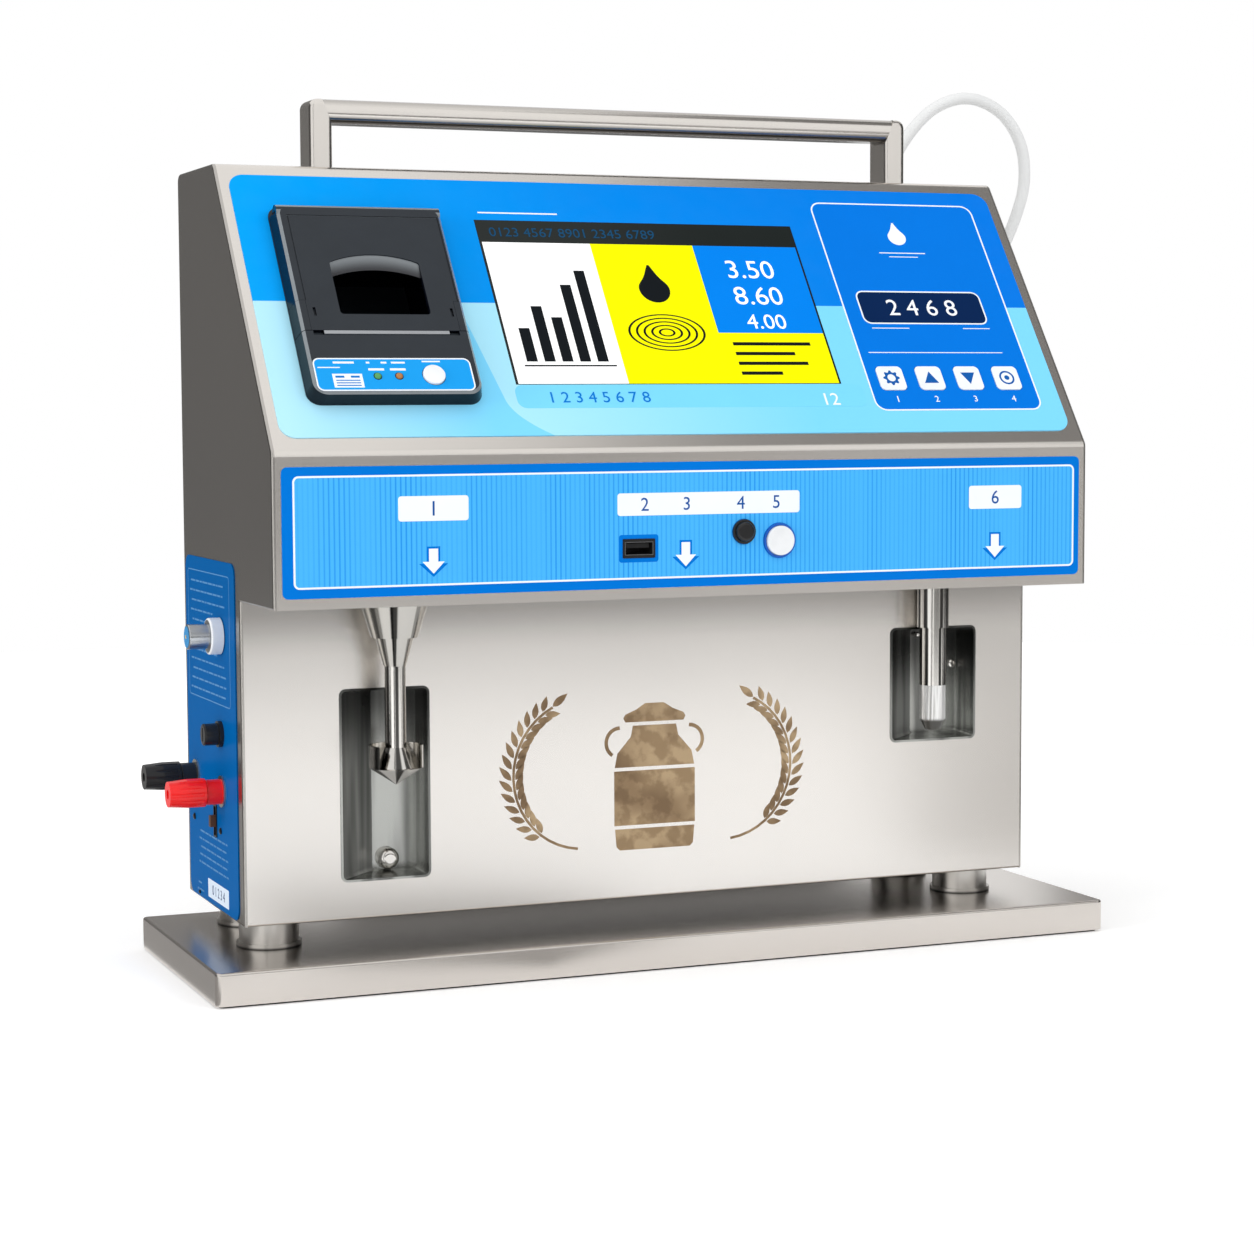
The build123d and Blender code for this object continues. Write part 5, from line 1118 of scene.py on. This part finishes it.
class ANALYZER_OT_side(AnalyzerStep, bpy.types.Operator):
    """Prints the side film and finishes its controls"""

    bl_idname = "analyzer.side"
    bl_label = "Side controls"

    def execute(self, context):
        look = look_of(context, "print")
        plastic = look_of(context, "plastic")
        film = Recipe("side_film_print", roughness=0.3, specular_ior_level=0.03, ior=1.2)
        base = look.side
        share = film.spread(film.along(UP), 0, 1, 0.03, 0.18)
        film.set(base_color=film.mix(share, tuple(c * 1.15 for c in base), base))
        film.bump(film.noise(90, detail=1), 0.00002)
        finish_nodes(film.material, "side_overlay")
        shapes = [frame_line(-59.0, 16.0, 118.5, 175.8, 2.5, 0.5)]
        shapes += self.fine_rows((122.0, 172.0), 4.4, (-55.0, 12.0))
        shapes += self.fine_rows((43.0, 58.0), 3.6, (-46.0, 10.0))
        shapes += self.fine_rows((30.0, 33.6), 3.2, (-50.0, -36.0))
        printed("side_fine_print", LEFT, shapes, ink("side_ink", look.side_ink, 0.25))
        label = boxes((-29.9, 7.4, 29.6, 38.0, 0.6))
        printed("side_label", LEFT, label, ink("side_white", tone(214, 226, 240)))
        rows = [("0 1 2 3 4", -11.0, 33.8, 4.4)]
        numbers("side_numbers", LEFT, rows, ink("side_number_blue", tone(30, 60, 110)))
        self.finish_controls(plastic)
        return {"FINISHED"}

    def fine_rows(self, heights, pitch, sides):
        """Rows of short dashes in place of small print."""
        found = []
        v, row = heights[0], 0
        while v <= heights[1]:
            u = sides[0] + (row * 7) % 5
            end = sides[1] - (row * 5) % 9
            step = 0
            while u < end:
                length = 3.0 + (row * 3 + step * 5) % 7
                clear = math.hypot(u + length / 2, v - DIAL_HEIGHT) > 12
                if clear and u + length < sides[1]:
                    found.append(rounded(u, u + length, v, v + 0.8))
                u += length + 1.2
                step += 1
            v += pitch
            row += 1
        return found

    def finish_controls(self, plastic):
        black = moulded("side_black", plastic.black, 0.32, coat=0.25)
        finish_nodes(black, "fuse_holder", "fuse_cap", "side_controls", "black_post_cap")
        finish_nodes(moulded("knob_brown", tone(96, 66, 48), 0.5), "slide_knob")
        red = moulded("post_red", plastic.red, 0.26, 0.000004, coat=0.5)
        finish_nodes(red, "red_post_cap")
        for name in ("red", "black"):
            zones = (getattr(plastic, name), tone(196, 196, 190))
            post = two_zones(name + "_post_parts", -0.19221, *zones, "second", roughness=0.3)
            finish_nodes(post, name + "_post_base")
        dial = two_zones("dial_parts", -0.1972, tone(192, 196, 200), plastic.white, "first", roughness=0.28)
        finish_nodes(dial, "dial_knob")
        disc, dot = circle(0.0, DIAL_HEIGHT, 4.7), circle(-1.0, DIAL_HEIGHT, 0.9, 20)
        blue = moulded("dial_blue", tone(44, 140, 200), 0.3)
        printed("dial_disc", LEFT, [disc], blue, 2, DIAL_END, "dial")
        tan = moulded("dial_tan", tone(206, 178, 120), 0.4)
        printed("dial_dot", LEFT, [dot], tan, 4, DIAL_END, "dial")
        mesh = bmesh.new()
        for y, z, radius in ((53.1, 62.7, 1.5), (4.8, 62.7, 1.5), (45.1, 29.2, 0.9)):
            profile = [(0, -0.2), (radius, -0.2), (radius, 0.4), (radius * 0.6, 0.8), (0, 0.9)]
            add_turned(mesh, LEFT, -y, z, [(reach, FILM + n) for reach, n in profile], 20)
        piece_from(mesh, "side_screws", black, "housing", True)


class ANALYZER_OT_probe(AnalyzerStep, bpy.types.Operator):
    """Finishes the probe's glass"""

    bl_idname = "analyzer.probe"
    bl_label = "Probe glass"

    def execute(self, context):
        # The cup is dark below 100.6 to 102.6 mm; above it, pale streaks are painted reflections.
        glass = Recipe("probe_glass", roughness=0.08, ior=1.3, transmission_weight=0.25)
        height = glass.spread(glass.along(UP), 0, 1, 0.1006, 0.1026, True)
        streak = glass.spread(glass.noise(420, (1, 1, 0.05), 2), 0, 1, 0.4, 0.58, True)
        bright = glass.mix(streak, tone(196, 195, 192), tone(252, 252, 251))
        glass.set(base_color=glass.mix(height, tone(92, 91, 88), bright), metallic=0.35)
        glass.bump(glass.noise(120), 0.000005)
        finish_nodes(glass.material, "probe_cup")
        return {"FINISHED"}


class ANALYZER_OT_rear(AnalyzerStep, bpy.types.Operator):
    """Finishes the mains inlet and its switch"""

    bl_idname = "analyzer.rear"
    bl_label = "Rear"

    def execute(self, context):
        plastic = look_of(context, "plastic")
        black = moulded("inlet_black", plastic.black, 0.42, 0.00002)
        finish_nodes(black, "mains_inlet", "power_switch")
        return {"FINISHED"}


class ANALYZER_OT_inside(AnalyzerStep, bpy.types.Operator):
    """Finishes what the cabinet holds"""

    bl_idname = "analyzer.inside"
    bl_label = "Inside"

    def execute(self, context):
        plastic = look_of(context, "plastic")
        board = Recipe("circuit_green", roughness=0.45)
        tracks = board.spread(board.noise(420, detail=1), 0, 1, 0.48, 0.52)
        board.set(base_color=board.mix(tracks, tone(10, 78, 46), tone(18, 104, 62)))
        board.bump(tracks, 0.00003)
        finish_nodes(board.material, "main_board", "key_board")
        cast = turned_steel("cast_case", tone(176, 178, 182), 0.38)
        finish_nodes(cast, "sensor_block", "power_supply", "pump_motor")
        finish_nodes(moulded("pump_white", plastic.white, 0.4), "pump_head")
        finish_nodes(moulded("rotor_black", plastic.black, 0.4), "pump_rotor")
        finish_nodes(moulded("tube_milky", plastic.hose, 0.3), "inner_tube")
        return {"FINISHED"}


class ANALYZER_PT_panel(bpy.types.Panel):
    """The analyzer's steps in the sidebar"""

    bl_label = "Milk Analyzer"
    bl_idname = "ANALYZER_PT_panel"
    bl_space_type = "VIEW_3D"
    bl_region_type = "UI"
    bl_category = "Milk Analyzer"

    def draw(self, context):
        for name in STEPS:
            self.layout.operator("analyzer." + name)
        for name, group in SETTINGS.items():
            box = self.layout.box()
            box.label(text=group.__doc__)
            for prop in group.__annotations__:
                box.prop(look_of(context, name), prop)


SETTINGS = {
    "stage": StageSettings,
    "steel": SteelSettings,
    "print": PrintSettings,
    "screen": ScreenSettings,
    "plastic": PlasticSettings,
}
OPERATORS = tuple(AnalyzerStep.__subclasses__())
STEPS = [operator.bl_idname.split(".")[1] for operator in OPERATORS]


def register():
    for name, group in SETTINGS.items():
        bpy.utils.register_class(group)
        setattr(bpy.types.Scene, "analyzer_" + name, PointerProperty(type=group))
    for made in (*OPERATORS, ANALYZER_PT_panel):
        bpy.utils.register_class(made)


def unregister():
    for made in (*OPERATORS, ANALYZER_PT_panel):
        bpy.utils.unregister_class(made)
    for name, group in SETTINGS.items():
        delattr(bpy.types.Scene, "analyzer_" + name)
        bpy.utils.unregister_class(group)


def main():
    register()
    for name in STEPS:
        getattr(bpy.ops.analyzer, name)()


if __name__ == "__main__":
    main()
